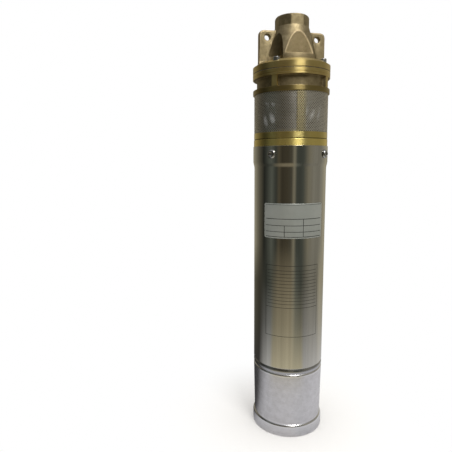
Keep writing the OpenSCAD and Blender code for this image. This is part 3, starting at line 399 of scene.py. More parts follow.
plate_low, plate_top, _ = extent("rating_plate")
plate_r, plate_middle, plate_half_arc = tube_r + 0.4, np.radians(258.5), np.radians(50.25)
plate_half_h, plate_corner, plate_t = (plate_top - plate_low) / 2, 2.0, 0.3
plate_u, plate_v = np.meshgrid(np.linspace(-1, 1, 97), np.linspace(-1, 1, 41), indexing="ij")
past_straight = np.maximum(0, plate_half_h * np.abs(plate_v) - (plate_half_h - plate_corner))
plate_cut = plate_corner - np.sqrt(np.maximum(0, plate_corner**2 - past_straight**2))
plate_a = plate_middle + plate_u * (plate_half_arc - plate_cut / plate_r)
plate_z = plate_low + plate_half_h * (1 + plate_v)
plate = open_sheet("plate_foil", at_angle(plate_r, plate_a, plate_z) / 1000)
plate.modifiers.new("foil", "SOLIDIFY").thickness = plate_t / 1000
foil = finish("plate_foil", (0.39, 0.413, 0.385), (0.455, 0.474, 0.446), (0.44, 0.56), "Lines", 0.004, 0.7)
margin, cell_foot, cell_split, cell_top = 0.03, 0.045, 0.37, 0.56
cell_lines = [
    ("flat", cell_top, margin, 1 - margin, 0.009), ("flat", cell_split, margin, 1 - margin, 0.008),
    ("flat", 0.19, margin, 1 - margin, 0.008), ("flat", cell_foot, margin, 1 - margin, 0.009),
    ("flat", 0.965, 0.02, 0.98, 0.006), ("up", 0.34, cell_foot, cell_split, 0.0045),
    ("up", 0.63, cell_foot, cell_top, 0.0045),
]
tree = foil.node_tree
face = add(tree, "SeparateXYZ", {0: add(tree, "UVMap", uv_map="turn").outputs[0]}).outputs
lay(foil, ruled(tree, face["X"], face["Y"], cell_lines), "Base Color", (0.035, 0.037, 0.036))
fit(plate, foil, "rating_plate")

# Motor bracket: a turned brass end shield. Its spigot sits in the bell of the shell, and its hub holds the
# upper bearing and the lip seal under a well of oil. Its rim shows above the shell as the lower band.
hub_low, band_top, band_r = extent("motor_bracket")
bearing_top = extent("upper_bearing_outer")[1]
lip_low, lip_top, lip_r = extent("oil_seal")
oil_floor, oil_r = lip_top + 0.1, 20
bearing_r, shaft_way_r, hub_r, rim_bore_r, socket_r = 17.5, 10, 23.5, 33.5, tube_r - 0.1
web_low, socket_low = oil_floor + 3, bell_low + 1
bracket_outline = rounded([
    (bearing_r, hub_low, 0.3), (hub_r, hub_low, 0.3), (hub_r, web_low, 0.3), (rim_bore_r, web_low, 0.3),
    (rim_bore_r, socket_low, 0.3), (socket_r - 0.5, socket_low, 0.4), (socket_r, socket_low + 0.5, 0.3),
    (socket_r, shell_top, 0.1), (band_r, shell_top, 1.0), (band_r, band_top, 1.1), (oil_r, band_top, 0.3),
    (oil_r, oil_floor, 0.2), (lip_r, oil_floor, 0.2), (lip_r, lip_low, 0.2), (shaft_way_r, lip_low, 0.2),
    (shaft_way_r, bearing_top, 0.2), (bearing_r, bearing_top, 0.2),
])
bracket_grid = turned(bracket_outline)
bracket_z = bracket_grid[..., 2]
joint_half = 0.45
bracket_joint = near(bracket_z, band_top, joint_half, 4)
# The lower band carries a field for a painted highlight.
bracket = solid("bracket_band", bracket_grid, joint=bracket_joint, buff=0.8 + 0 * bracket_z)
brass = finish(
    "turned_brass", (0.72, 0.575, 0.19), (0.85, 0.71, 0.28), (0.36, 0.44), "Lines", 0.006, smear=0.92
)
# Painted highlight: the lower band's brass is painted lighter than the upper band's.
lay(brass, "buff", "Base Color", (1.0, 0.81, 0.27))
lay(brass, "joint", "Base Color", (0.03, 0.022, 0.008))
lay(brass, "dull", "Roughness", 0.33)
fit(bracket, brass, "motor_bracket")


# Shell screws: four chromed steel screws with button heads and hexagon sockets. They go through the bell of
# the shell into the bracket's spigot.
def socket_head(outline, af, wall, floor, around=48):
    """Screw about its own axis: the outline (radius, height) turned, then a hexagon socket, sunk from wall
    height to its floor. Its radius is half the width across flats over the largest cosine to a face."""
    a = full_turn(around)
    hexagon = af / 2 / np.cos((a + np.pi / 6) % (np.pi / 3) - np.pi / 6)
    r = np.concatenate([outline[:, 0] + 0 * a, hexagon * np.array([1.06, 1.0, 1.0, 0.97, 0.05])], 1)
    z = np.concatenate([outline[:, 1], [wall, wall - 0.15, floor + 0.1, floor, floor - 0.4]])
    return at_angle(r, a, z)


def around_axis(grid, angles):
    """Copies of a grid turned about the pump's axis by angles in degrees."""
    c, s = np.cos(np.radians(angles))[:, None, None], np.sin(np.radians(angles))[:, None, None]
    x, y, z = np.moveaxis(grid, -1, 0)
    return np.stack([x * c - y * s, x * s + y * c, z + 0 * c], -1)


shell_screw_z, shell_screw_r, shell_screw_l, button_r, button_h = shell_top - 10.3, 3, 9.5, 5.7, 3
dome_a = np.radians(np.linspace(0, 90, 8))
dome = np.stack([3.3 + (button_r - 3.3) * np.cos(dome_a), 0.2 + (button_h - 0.2) * np.sin(dome_a)], 1)
button = np.array([
    (0.1, -shell_screw_l), (shell_screw_r - 0.4, -shell_screw_l), (shell_screw_r, 0.5 - shell_screw_l),
    (shell_screw_r, -0.1), (shell_screw_r + 0.2, 0), (button_r - 0.2, 0), *dome,
])
buttons = socket_head(button, af=5.4, wall=button_h - 0.05, floor=1.2)
buttons = buttons[..., [2, 0, 1]] + np.array([bell_r, 0, shell_screw_z])
screws = solid("shell_buttons", around_axis(buttons, np.arange(42, 402, 90)), ends=True)
chrome = finish("chrome_screws", (0.46, 0.46, 0.46), (0.58, 0.58, 0.57), (0.14, 0.24), "Grain", 0.008)
fit(screws, chrome, "shell_screws")

# Shaft seal: a sintered ceramic seat pressed into the seal plate, and a turned carbon face that runs on it.
# A steel collar on the shaft holds the spring that presses the face down.
ceramic = finish("seat_ceramic", (0.78, 0.76, 0.70), (0.86, 0.85, 0.80), (0.2, 0.3), "Grain", 0.005, 0.0)
carbon = finish("seal_carbon", (0.02, 0.02, 0.022), (0.05, 0.05, 0.052), (0.3, 0.42), "Lines", 0.006, 0.0)
dress(ceramic, "seal_seat")
dress(carbon, "seal_face")
dress(shaft, "seal_collar")

# Seal plate: a turned brass disc that lies on the bracket and closes its well of oil. Its rim is the upper
# band, and its lip carries the strainer.
spigot_low, lip_end, rim_r = extent("seal_plate")
rim_top = lip_end - 3
seat_low, _, seat_r = extent("seal_seat")
plate_spigot_r, spigot_bore_r, shaft_hole_r, sleeve_seat_r = oil_r - 0.1, 12, 9, 47.6
seal_outline = rounded([
    (spigot_bore_r, spigot_low, 0.2), (plate_spigot_r, spigot_low, 0.2), (plate_spigot_r, band_top, 0.2),
    (rim_r, band_top, 1.1), (rim_r, rim_top, 0.8), (sleeve_seat_r, rim_top, 0.1),
    (sleeve_seat_r, lip_end, 0.3), (sleeve_seat_r - 1.9, lip_end, 0.3), (sleeve_seat_r - 1.9, rim_top, 0.2),
    (seat_r + 0.05, rim_top, 0.3), (seat_r + 0.05, seat_low, 0.2), (shaft_hole_r, seat_low, 0.2),
    (shaft_hole_r, band_top - 1, 0.2), (spigot_bore_r, band_top - 1, 0.2),
])
seal_grid = turned(seal_outline)
seal_z = seal_grid[..., 2]
seal_joint = near(seal_z, band_top, joint_half, 4)
seal_plate = solid("plate_band", seal_grid, joint=seal_joint, dull=1 + 0 * seal_z)
fit(seal_plate, brass, "seal_plate")


# Strainer: stainless sheet punched with fine staggered holes and rolled into a sleeve. Its cut end laps over
# the other end and is brazed to it, which shows as a zigzag seam. The golden strip beside the seam is a
# painted highlight, and the darker olive band before it is painted shade. The inside of the sleeve and the
# walls of the holes are painted near black as painted shade.
def part_way(x, start, end):
    """Share of the way from a start to an end, held between 0 and 1."""
    return np.clip((x - start) / (end - start), 0, 1)


sleeve_low, sleeve_top, sleeve_r = extent("strainer")
sleeve_t, hole_r, hole_up, rows, columns, lapped, seam_a = 0.6, 0.7, 1.62, 30, 108, 2, 259.5
middle_r = sleeve_r - sleeve_t / 2
hole_across = 2 * np.pi * middle_r / (columns - lapped)
half_h = (sleeve_top - sleeve_low) / 2 - 0.03
row, column = np.meshgrid(np.arange(rows), np.arange(columns), indexing="ij")
centre = np.stack([(column + (row % 2) / 2) * hole_across, (row - (rows - 1) / 2) * hole_up], -1)
centre = centre.reshape(-1, 1, 2)
corner_a = np.radians(90 + 60 * np.arange(6))
star = np.stack([np.cos(corner_a), np.sin(corner_a)], -1)[None]
cell = centre + star * np.array([hole_across / math.sqrt(3), hole_up * 2 / 3])
hole = centre + star * hole_r
web = np.stack([cell, np.roll(cell, -1, 1), np.roll(hole, -1, 1), hole], 2).reshape(-1, 4, 2)
cell_rows = cell.reshape(rows, columns, 6, 2)
ends = ((cell_rows[-1], (5, 0, 1), half_h), (cell_rows[0], (2, 3, 4), -half_h))
for end_row, (left, tip, right), level in ends:
    chain = np.stack([end_row[:, [left, tip]], end_row[:, [tip, right]]], 1).reshape(-1, 2, 2)
    trimmed = np.stack([chain[..., 0], level + 0 * chain[..., 0]], -1)
    web = np.concatenate([web, np.stack([chain[:, 1], chain[:, 0], trimmed[:, 0], trimmed[:, 1]], 1)])
flat, quads = np.unique(np.round(web.reshape(-1, 2), 4), axis=0, return_inverse=True)
quads = quads.reshape(-1, 4)
edges = np.stack([quads, np.roll(quads, -1, 1)], -1).reshape(-1, 2)
edge_code = np.sort(edges, 1) @ np.array([len(flat), 1])
_, first, count = np.unique(edge_code, return_index=True, return_counts=True)
border = edges[first[count == 1]]
walls = np.stack([border[:, 1], border[:, 0], border[:, 0] + len(flat), border[:, 1] + len(flat)], -1)
faces = np.concatenate([quads, quads[:, ::-1] + len(flat), walls])
turn_by = np.degrees(flat[:, 0] / middle_r)
lap = 0.55 * part_way(turn_by, 19, 11) - 0.12 * part_way(turn_by, 348, 358)
sleeve_a = np.radians(seam_a + turn_by)
sleeve_z = (sleeve_low + sleeve_top) / 2 + flat[:, 1]
skins = [at_angle(r + lap, sleeve_a, sleeve_z) for r in (sleeve_r, sleeve_r - sleeve_t)]
# Painted highlight beside the seam, and painted shade in the band before it.
seam_highlight, heat = np.tile(part_way(turn_by, 15, 8), 2), np.tile(part_way(turn_by, 328, 350), 2)
sleeve_uv = np.concatenate([flat, flat])[faces.ravel()] / 1000
strainer = mesh_piece(
    "strainer_sleeve", np.concatenate(skins) / 1000, faces.ravel(), np.full(len(faces), 4), sleeve_uv,
    {"seam_highlight": seam_highlight, "heat": heat},
)
mesh_steel = finish(
    "strainer_stainless", (0.68, 0.65, 0.59), (0.86, 0.825, 0.76), (0.34, 0.48), "Grain", 0.01
)
# Painted shade before the seam and a painted highlight beside it, laid over the sheet's colour.
lay(mesh_steel, "heat", "Base Color", (0.34, 0.325, 0.215))
lay(mesh_steel, "seam_highlight", "Base Color", (0.95, 0.83, 0.52))
# Painted shade: the inner skin and the hole walls are painted near black, as the inside of the sleeve is
# unlit.
mesh_back_shade = finish(
    "strainer_inside_shade", (0.018, 0.016, 0.014), (0.035, 0.031, 0.026), (0.6, 0.75), "Grain", 0.02, 0.0
)
fit(strainer, mesh_steel, "strainer")
strainer.data.materials.append(mesh_back_shade)
strainer.data.polygons.foreach_set("material_index", (np.arange(len(faces)) >= len(quads)).astype(np.int32))

# Neck screws and conduit: four steel socket screws hold the casing's foot and the seal plate to the bracket.
# The conduit is a drawn stainless tube that takes the motor leads up inside the strainer.
tube = finish("conduit_stainless", (0.50, 0.50, 0.50), (0.60, 0.60, 0.59), (0.25, 0.38), "Drawn", 0.01)
dress(tube, "cable_conduit")
dress(chrome, "neck_screws")

# Pump casing: brass casting turned on its flanges. The waist between them is left as cast, with posts for
# the head screws and a wide rib at the back for the conduit. Below the waist, and in the pocket between the
# posts, the brass is painted darker as painted shade.
casing_low, casing_top, casing_reach = extent("pump_casing")
flange_r = casing_reach - 0.02
low_flange_r = flange_r - 0.23
post_r, waist_r = low_flange_r - 0.6, 45
waist_low, waist_top = casing_top - 20.9, casing_top - 7.5
low_flange_z = waist_low - 6.1
underside = low_flange_z - 3
seal_roof = underside - 2
line_z, line_depth = waist_top + 2.4, 0.58
neck_bore_r, neck_r, neck_foot_r, neck_foot_z = 15.5, 20.5, 33, casing_low + 6
chamber_r, chamber_floor, shaft_gap_r = 32.5, casing_top - 17, 7.4
casing_outline = rounded([
    (neck_bore_r, casing_low, 0.3), (neck_foot_r, casing_low, 0.5), (neck_foot_r, neck_foot_z, 0.8),
    (neck_r, neck_foot_z, 1.5), (neck_r, underside, 1.5), (sleeve_seat_r, underside, 0.3),
    (sleeve_seat_r, low_flange_z, 0.1), (low_flange_r, low_flange_z, 0.6), (low_flange_r, waist_low, 0.6),
    (waist_r, waist_low, 1.0), (waist_r, waist_top, 1.0), (flange_r, waist_top, 0.6),
    (flange_r, line_z, 0.15), (flange_r - line_depth, line_z + 0.5, 0.15), (flange_r, line_z + 1, 0.15),
    (flange_r, casing_top, 0.4), (chamber_r, casing_top, 0.3), (chamber_r, chamber_floor, 0.3),
    (shaft_gap_r, chamber_floor, 0.2), (shaft_gap_r, seal_roof, 0.2), (neck_bore_r, seal_roof, 0.3),
], 4)
casing_grid = turned(casing_outline, 640)
casing_r, casing_z = casing_outline.T
casing_t = full_turn(640)
post_t, rib_t = casing_t % (np.pi / 2) - np.pi / 4, casing_t - np.pi / 2
post = part_way(np.abs(waist_r * np.sin(post_t)), 4.7, 3.4)
rib = part_way(np.abs(waist_r * np.sin(rib_t)), 9.5, 8.2) * (np.cos(rib_t) > 0)
raised = np.maximum(post, rib)
raised = raised * raised * (3 - 2 * raised)
between = (casing_z > waist_low - 0.1) & (casing_z < waist_top + 0.1)
waist = between & (casing_r < post_r) & (casing_r > waist_r - 0.1)
bulge = np.where(waist, np.maximum(0, post_r - casing_r), 0) * raised
casing_grid[0, ..., :2] *= (1 + bulge / casing_r)[..., None]
# Painted shade: the brass below the waist, under the head's flange, is darkened.
stain = 0.7 * part_way(casing_grid[..., 2], waist_low + 0.7, waist_low + 0.1)
# Painted shade darkens the pocket of the waist between the posts.
casing = solid("casing_body", casing_grid, stain=stain, panel=0.18 * (waist & (raised < 0.6)))
cast_turned = finish(
    "casing_brass", (0.60, 0.46, 0.17), (0.74, 0.59, 0.25), (0.34, 0.46), "Lines", 0.008, smear=0.9
)
# Painted shade below the waist.
lay(cast_turned, "stain", "Base Color", (0.20, 0.15, 0.055))
cast = finish(
    "cast_brass", (0.32, 0.256, 0.144), (0.51, 0.42, 0.25), (0.42, 0.58), "Grain", 0.22, cloud="Patch"
)
# Painted shade on the arch flats, in the scoops and in the casing's waist pocket.
lay(cast, "panel", "Base Color", (0.13, 0.095, 0.045))
# Painted highlight: lighter brass on the arch's rim, the ledge and the ears' outer edges.
lay(cast, "rim", "Base Color", (0.64, 0.515, 0.315))
fit(casing, cast_turned, "pump_casing")
casing.data.materials.append(cast)
as_cast = (casing_z < underside + 0.4) | between & (casing_r < post_r + 0.15) & (raised < 0.6)
casing.data.polygons.foreach_set("material_index", as_cast.astype(np.int32).ravel())

# Impeller: a vortex wheel machined from brass, with short vanes milled into both sides of its rim.
# It is keyed to the shaft and held by a clip.
wheel = finish("impeller_brass", (0.66, 0.48, 0.18), (0.78, 0.60, 0.26), (0.2, 0.34), "Grain", 0.02)
dress(wheel, "impeller")

# Head gasket: a ring cut from pressed fibre sheet, clamped between casing and head by the head screws.
# Its edge is seen as a dark line.
fibre = finish("gasket_fibre", (0.030, 0.028, 0.026), (0.07, 0.065, 0.06), (0.7, 0.85), "Grain", 0.05, 0.0)
dress(fibre, "head_gasket")


# Delivery head: sand cast brass, turned on its flange. The cone has an arched flat at the front and the back
# and a scoop on each side of an ear, for a key on the screws. An octagon collar takes a spanner round the
# outlet. The arched flats and the scoops are painted darker as painted shade, and the ledge, the arch's rim
# and the ears' outer edges are painted lighter as a painted highlight.
def bite(angle, at, radius):
    """Distance from the axis at which a ray at an angle to an upright round cut enters it, and 99 where it
    misses. It is the nearer root of the circle's equation along the ray."""
    inside = radius**2 - (at * np.sin(angle)) ** 2
    entry = at * np.cos(angle) - np.sqrt(np.maximum(0, inside))
    return np.where((np.cos(angle) > 0) & (inside > 0), entry, 99.0)


def softly(a, b, width):
    """The smaller of two distances, rounded over a width where they cross."""
    h = np.clip(0.5 + 0.5 * (b - a) / width, 0, 1)
    return b + (a - b) * h - width * h * (1 - h)


def strip(corners, keep=slice(None)):
    """Part of a rounded outline as rows that are the same all the way round the head."""
    outline = rounded(corners)[keep]
    return outline[:, 0] + 0 * head_t, outline[:, 1] + 0 * head_t


head_low, head_top, _ = extent("delivery_head")
face_z = casing_top + 0.8
rim_z = face_z + 7
deck_z = rim_z + 4
ledge_z = deck_z + 8.6
collar_z = ledge_z + 37
head_t = full_turn(480)
from_front = np.clip(head_t % np.pi - np.pi / 2, -1.2, 1.2)
from_ear = np.abs((head_t + np.pi / 2) % np.pi - np.pi / 2)
gland_y, gland_r, scoop_at, scoop_y, scoop_r = 40, 9.28, 41, 19.9, 16
gland_cut = bite(head_t - np.pi / 2, gland_y, gland_r)
scoop = bite(from_ear - math.asin(scoop_y / scoop_at), scoop_at, scoop_r)
ledge_r = 34.0
ledge = np.minimum(ledge_r, np.minimum(gland_cut, scoop))

head_spigot_r, clip_room_r, clip_room_top, axis_r = chamber_r - 0.1, 13, head_low + 5, 0.05
base = strip([
    (axis_r, clip_room_top, 0), (clip_room_r, clip_room_top, 0), (clip_room_r, head_low, 0),
    (head_spigot_r, head_low, 0.3), (head_spigot_r, face_z, 0.2), (flange_r, face_z, 0.5),
    (flange_r, rim_z + 0.2, 0),
])

inward = np.concatenate([np.linspace(0, 0.34, 20), np.linspace(0.36, 1, 32)])
deck_r = flange_r - 0.03 + (ledge + 0.02 - (flange_r - 0.03)) * inward
shoulder_w = 5.6
shoulder_h = (flange_r + 0.02 - deck_r) / shoulder_w * (deck_z - rim_z)
deck_h = softly(rim_z + shoulder_h, deck_z + 0 * deck_r, 0.8)
deck_x, deck_y = deck_r * np.cos(head_t), deck_r * np.sin(head_t)
head_screw_at, screw_spot_r, screw_seat, snap = 43.5, 5.3, deck_z - 2.3, 0.29
screw_x = head_screw_at * math.sqrt(0.5)
spots = [(x, y, screw_spot_r, screw_seat) for x in (-screw_x, screw_x) for y in (-screw_x, screw_x)]
spots.append((0, gland_y, gland_r + 0.12, deck_z - 2))
for spot_x, spot_y, spot_r, spot_z in spots:
    from_spot = np.hypot(deck_x - spot_x, deck_y - spot_y)
    drawn = np.where(np.abs(from_spot - spot_r) < snap, spot_r / from_spot, 1)
    deck_x, deck_y = spot_x + (deck_x - spot_x) * drawn, spot_y + (deck_y - spot_y) * drawn
    deck_h = np.where(from_spot * drawn < spot_r - 0.01, np.minimum(deck_h, spot_z), deck_h)

ledge_round = arc(ledge_r - 0.7, ledge_z - 0.7, 0.7, 0, 90, 5)[:, :2]
wall = np.array([(ledge_r, deck_z + 1.2), (ledge_r, deck_z + 2), (ledge_r, deck_z + 4.6), *ledge_round])

cone_h = collar_z - ledge_z
cone_end = cone_h - np.array([0.4, 0.1, 0])
up = np.concatenate([[0, 0.15, 0.5, 1.1], np.linspace(2, cone_h - 0.8, 52), cone_end])
arch_h, arch_w, arch_power, flat_foot, flat_lean = 27.5, 18.9, 2.05, 27.6, math.radians(5.7)
flat_d = flat_foot - up * math.tan(flat_lean)
flat_r = flat_d / np.cos(from_front)
over = np.abs(flat_d * np.tan(from_front)) / arch_w
rise = up / arch_h
slope = np.hypot(arch_power / arch_w * over ** (arch_power - 1), 1 / arch_h)
arch = (over**arch_power - 1 + rise) / slope
arch_half = arch_w * np.maximum(0, 1 - rise) ** (1 / arch_power)
cone_r = np.hypot(flat_d, arch_half) - 0.2 * np.maximum(0, up - arch_h)
flare, gland_cut_h, arch_rim_h = 1.2, 20, 31
foot_flare = flare * part_way(up, flare, 0) ** 2
arch_bead = 0.55 * near(arch, 0.2, 1.0, 2)
body_r = softly(cone_r + 0 * flat_r, flat_r, 0.7) + arch_bead + foot_flare
body_r = np.minimum(body_r, ledge_r - 0.8)
body_r = np.minimum(np.where(up < gland_cut_h, np.minimum(body_r, gland_cut), body_r), scoop)

octagon_half, octagon_power, collar_r = 20.55, 70, 22.0
faces_at = np.arange(8) * np.pi / 4
octagon = np.sum(np.maximum(0, np.cos(head_t - faces_at)) ** octagon_power, 1, keepdims=True)
octagon = octagon_half * octagon ** (-1 / octagon_power)
collar_rows = np.concatenate([
    collar_z + np.array([0, 0.1, 0.5, 2, 4, 6, 8, 10]), head_top - np.array([2, 1.4, 1, 0.6, 0.3, 0.1, 0])
])
top_round = 0.7 * part_way(collar_rows, head_top - 0.8, head_top) ** 2
corner_cut = collar_r - np.maximum(0, collar_rows - (head_top - 2)) * 0.75

outlet_rim_r, outlet_r, outlet_end, valve_r, valve_seat = 18.4, 16.9, head_top - 17, 14, deck_z + 6
port_r, port_floor = 9, face_z + 3
# The first corner only gives the outlet's rim its slope, and isn't kept.
bore = strip([
    (port_r, head_low, 0), (outlet_rim_r, head_top, 0.3), (outlet_r, head_top, 0.25),
    (outlet_r, outlet_end, 0.3), (valve_r, outlet_end, 0.4), (valve_r, valve_seat, 0.4),
    (port_r, valve_seat, 0.4), (port_r, port_floor, 0), (axis_r, port_floor, 0),
], slice(1, None))

blocks = [
    base,
    (deck_r, deck_h),
    (np.minimum(wall[:, 0], ledge), wall[:, 1] + 0 * head_t),
    (body_r, ledge_z + up + 0 * head_t),
    (np.minimum(octagon, corner_cut) - top_round, collar_rows + 0 * head_t),
    bore,
]
head_r, head_z = (np.concatenate(part, 1) for part in zip(*blocks))
block_ends = np.cumsum([block[0].shape[1] for block in blocks])
deck_rows, cone_rows = slice(block_ends[0], block_ends[1]), slice(block_ends[2], block_ends[3])
head_grid = at_angle(head_r, head_t, head_z)[None]
head_grid[0, :, deck_rows, :2] = np.stack([deck_x, deck_y], -1)
# Painted highlight: the ledge and the arch's rim are painted lighter.
rim = 0.35 * ((head_z > deck_z + 0.2) & (head_z < ledge_z + 0.1) & (head_r > 25))
arch_rim = near(arch, 0.3, 1.3, 2) * (up < arch_rim_h)
rim[:, cone_rows] = np.maximum(rim[:, cone_rows], arch_rim)
# Painted shade on the arch flats and in the scoops of the cone.
panel = 0 * head_r
panel[:, cone_rows] = 0.6 * np.maximum(part_way(arch, 0, -1.5), body_r > scoop - 0.01)
head = solid("head_casting", head_grid, rim=rim, panel=panel)
fit(head, cast, "delivery_head")
head.data.materials.append(cast_turned)
is_flange = np.tile(np.arange(head_r.shape[1]) < block_ends[1], len(head_t))
head.data.polygons.foreach_set("material_index", is_flange.astype(np.int32))

# Rope ears: two brass plates cast on the sides of the cone, each with a round eye to hang the pump by.
# Their edges are rounded, and they swell into a fillet where they grow out of the cone and the deck. Their
# outer edges are painted lighter as a painted highlight.
eye_x, eye_z, eye_r, eye_round = 34, collar_z - 12.9, 3.7, 0.9
ear_half, ear_out, ear_up, ear_in, ear_down, ear_power, edge_w = 3.5, 11, 9, 15, 35, 3.3, 2.0
ear_u = full_turn(160)
way_x, way_z = np.cos(ear_u), np.sin(ear_u)
corner = (np.maximum(0, way_x) / ear_out) ** ear_power + (np.maximum(0, way_z) / ear_up) ** ear_power
reach = 1 / np.maximum(corner ** (1 / ear_power), np.maximum(-way_x / ear_in, -way_z / ear_down))
eye_edge = np.radians(np.linspace(0, 90, 4))
outer_edge = np.radians(np.linspace(0, 90, 5))
half_rows = [(0, eye_round * (1 - math.cos(a)), ear_half - eye_round * (1 - math.sin(a))) for a in eye_edge]
half_rows += [(share, 0, ear_half) for share in np.linspace(0.3, 0.95, 14)]
half_rows += [(1, edge_w * math.sin(a), edge_w + (ear_half - edge_w) * math.cos(a)) for a in outer_edge]
ear_rows = half_rows + [(share, past, -side) for share, past, side in half_rows[::-1]]
share, past, side = np.array(ear_rows).T
ear_p = eye_r * (1 - share) + (reach - edge_w) * share + past
ear_x, ear_z = eye_x + ear_p * way_x, eye_z + ear_p * way_z
side_foot, side_lean, fillet_w, fillet_out = 33, 0.297, 3.2, 0.8
from_cone = ear_x - side_foot + np.maximum(0, ear_z - ledge_z) * side_lean
root = np.minimum(from_cone, np.maximum(ear_z - deck_z, 0))
swell = fillet_out * part_way(root, fillet_w, 0) ** 2
ear_y = side + np.sign(side) * swell * (np.abs(side) > 2.2)
ear_pair = around_axis(np.stack([ear_x, -ear_y, ear_z], -1), np.array([0, 180]))
# Painted highlight on the ears' outer edges.
ears = solid("rope_ears", ear_pair, rim=0.8 * (share == 1) + 0 * ear_pair[..., 0])
fit(ears, cast, "delivery_head")

# Outlet thread: a pipe thread of eleven turns to the inch, cut into the collar and bright where it is cut.
# Its groove is a triangle wave along a helix that fades out at both ends.
pitch, thread_r, thread_depth, thread_fade = 2.309, 15.2, 1.35, 1.5
thread_top, thread_low = head_top - 2, head_top - 16.2
thread_t = full_turn(160)
thread_z = np.linspace(thread_top, thread_low, 80)
wave = np.abs(((thread_z / pitch + thread_t / (2 * np.pi)) % 1) * 2 - 1)
fade = part_way(thread_z, thread_top, thread_top - thread_fade)
fade = fade * part_way(thread_z, thread_low, thread_low + thread_fade)
groove = thread_r + thread_depth * np.clip(wave * 1.3 - 0.15, 0, 1) * fade
mouth = np.array([
    (thread_r + 1, head_top - 0.25), (thread_r + 0.7, head_top - 0.6), (thread_r + 0.2, head_top - 1.4),
])
seat = np.array([
    (thread_r, outlet_end + 0.1), (outlet_r + 0.07, outlet_end + 0.1), (outlet_r + 0.07, head_top - 0.15),
    (outlet_r - 0.3, head_top - 0.1),
])
cut_r = np.concatenate([mouth[:, 0] + 0 * thread_t, groove, seat[:, 0] + 0 * thread_t], 1)
cut_z = np.concatenate([mouth[:, 1], thread_z, seat[:, 1]])
thread = solid("outlet_thread", at_angle(cut_r, thread_t, cut_z)[None])
fit(thread, brass, "delivery_head")

# Head screws: four chromed steel screws with round heads and hexagon sockets. They stand in spot faces round
# the deck and pull the head down on the casing.
cap_screw_r, cap_screw_l, cap_r, cap_h, cap_round = 2.5, 23.8, 4.25, 5.0, 0.7
cap_screw = np.array([
    (0.1, -cap_screw_l), (cap_screw_r - 0.4, -cap_screw_l), (cap_screw_r, 0.4 - cap_screw_l),
    (cap_screw_r, -0.1), (cap_screw_r + 0.1, 0), (cap_r - 0.25, 0), (cap_r, 0.25), (cap_r, 0.6),
    *arc(cap_r - cap_round, cap_h - cap_round, cap_round, 0, 90, 5)[:, :2], (3.0, cap_h),
])
caps = socket_head(cap_screw, af=4.5, wall=cap_h - 0.05, floor=2.2)
caps = caps + np.array([head_screw_at, 0, screw_seat])
head_screws = solid("head_caps", around_axis(caps, np.arange(45, 405, 90)), ends=True)
fit(head_screws, chrome, "head_screws")

# Check valve: a brass poppet with a rubber ring on its seat, and a spoked cage pressed in above it. A coil
# of round spring wire stands between them. It is built at one length, though in use it shortens by the
# poppet's lift.
dress(plug_brass, "valve_poppet", "valve_cage")
dress(rubber, "poppet_seal")
spring_low, spring_top, spring_r = extent("valve_spring")
wire_r, coil_turns, lift = 0.6, 5, 8.0
coil_t = np.linspace(0, coil_turns * 2 * np.pi, 32 * coil_turns + 1)
coil_z = np.linspace(spring_low + wire_r, spring_top - wire_r, len(coil_t))
wire_t = full_turn(10)
coil_r = spring_r - wire_r + wire_r * np.cos(wire_t)
wire_z = coil_z + wire_r * np.sin(wire_t)
spring = solid("poppet_spring", at_angle(coil_r, coil_t, wire_z)[None], ends=True)
fit(spring, wire, "valve_spring")
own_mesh(spring)

# Cable gland: a turned brass body and nut in a spot face at the back of the head.
# The nut clamps a rubber grommet in the body's mouth.
dress(plug_brass, "gland_body", "gland_nut")
dress(rubber, "gland_grommet")


# Stage: a pale floor and a white surround, with cards that only polished metal sees, as in a product studio.
# A round card stands about the pump, one lies over it, and three lie on the floor as rings round its foot.
def card(name, points, inner, outer, share):
    """Card from a grid of points in metres, seen only in reflections. Two sets of tinted tones run round it
    by the angle from the camera's side, and a share along its other way leads from one to the other."""
    piece = open_sheet(name, points)
    paint = bpy.data.materials.new(name)
    paint.use_nodes = True
    tree = paint.node_tree
    place = add(tree, "SeparateXYZ", {0: add(tree, "UVMap", uv_map="turn").outputs[0]}).outputs
    tones = [
        ramp(tree, place["Y"], *[(0.5 + a / 360, tuple(tone * c for c in tint)) for a, tone, tint in stops])
        for stops in (inner, outer)
    ]
    share = ramp(tree, place["X"], *share)
    colour = add(tree, "MixRGB", {"Fac": share, 1: tones[0], 2: tones[1]}).outputs[0]
    glow = add(tree, "Emission", {"Color": colour, "Strength": 1.0})
    tree.links.new(glow.outputs[0], tree.nodes["Material Output"].inputs["Surface"])
    piece.data.materials.append(paint)
    piece.visible_camera = piece.visible_diffuse = piece.visible_shadow = False


camera_side = 249.5
ring_a = np.radians(camera_side + np.linspace(-180, 180, 145))[None]
room_r, room_h = 2.4, 2.2
warm, pale = (1.12, 1.03, 0.77), (0.99, 0.985, 1.01)
amber, green, soft = (1.19, 1.02, 0.69), (0.95, 1.03, 0.88), (1.06, 1.01, 0.85)
room = [
    (-180, 0.24, warm), (-146, 0.30, warm), (-117, 0.14, warm), (-101, 0.07, warm), (-87, 0.022, green),
    (-75, 0.055, green), (-58, 0.115, green), (-43, 0.05, green), (-33, 0.08, amber), (-23, 0.04, amber),
    (-5, 0.053, amber), (6, 0.07, warm), (14, 0.22, warm), (22, 0.065, green), (33, 0.06, green),
    (43, 0.08, green), (60, 0.19, warm), (80, 0.235, soft), (100, 0.21, soft), (117, 0.245, soft),
    (140, 0.36, warm), (180, 0.24, warm),
]
ground = [
    (-180, 0.22, warm), (-138, 0.09, warm), (-110, 0.05, warm), (-75, 0.045, green), (-58, 0.085, green),
    (-33, 0.165, amber), (-14, 0.17, amber), (8, 0.21, amber), (15, 0.22, warm), (24, 0.11, green),
    (40, 0.065, green), (55, 0.14, soft), (75, 0.22, soft), (98, 0.18, soft), (120, 0.36, warm),
    (180, 0.22, warm),
]
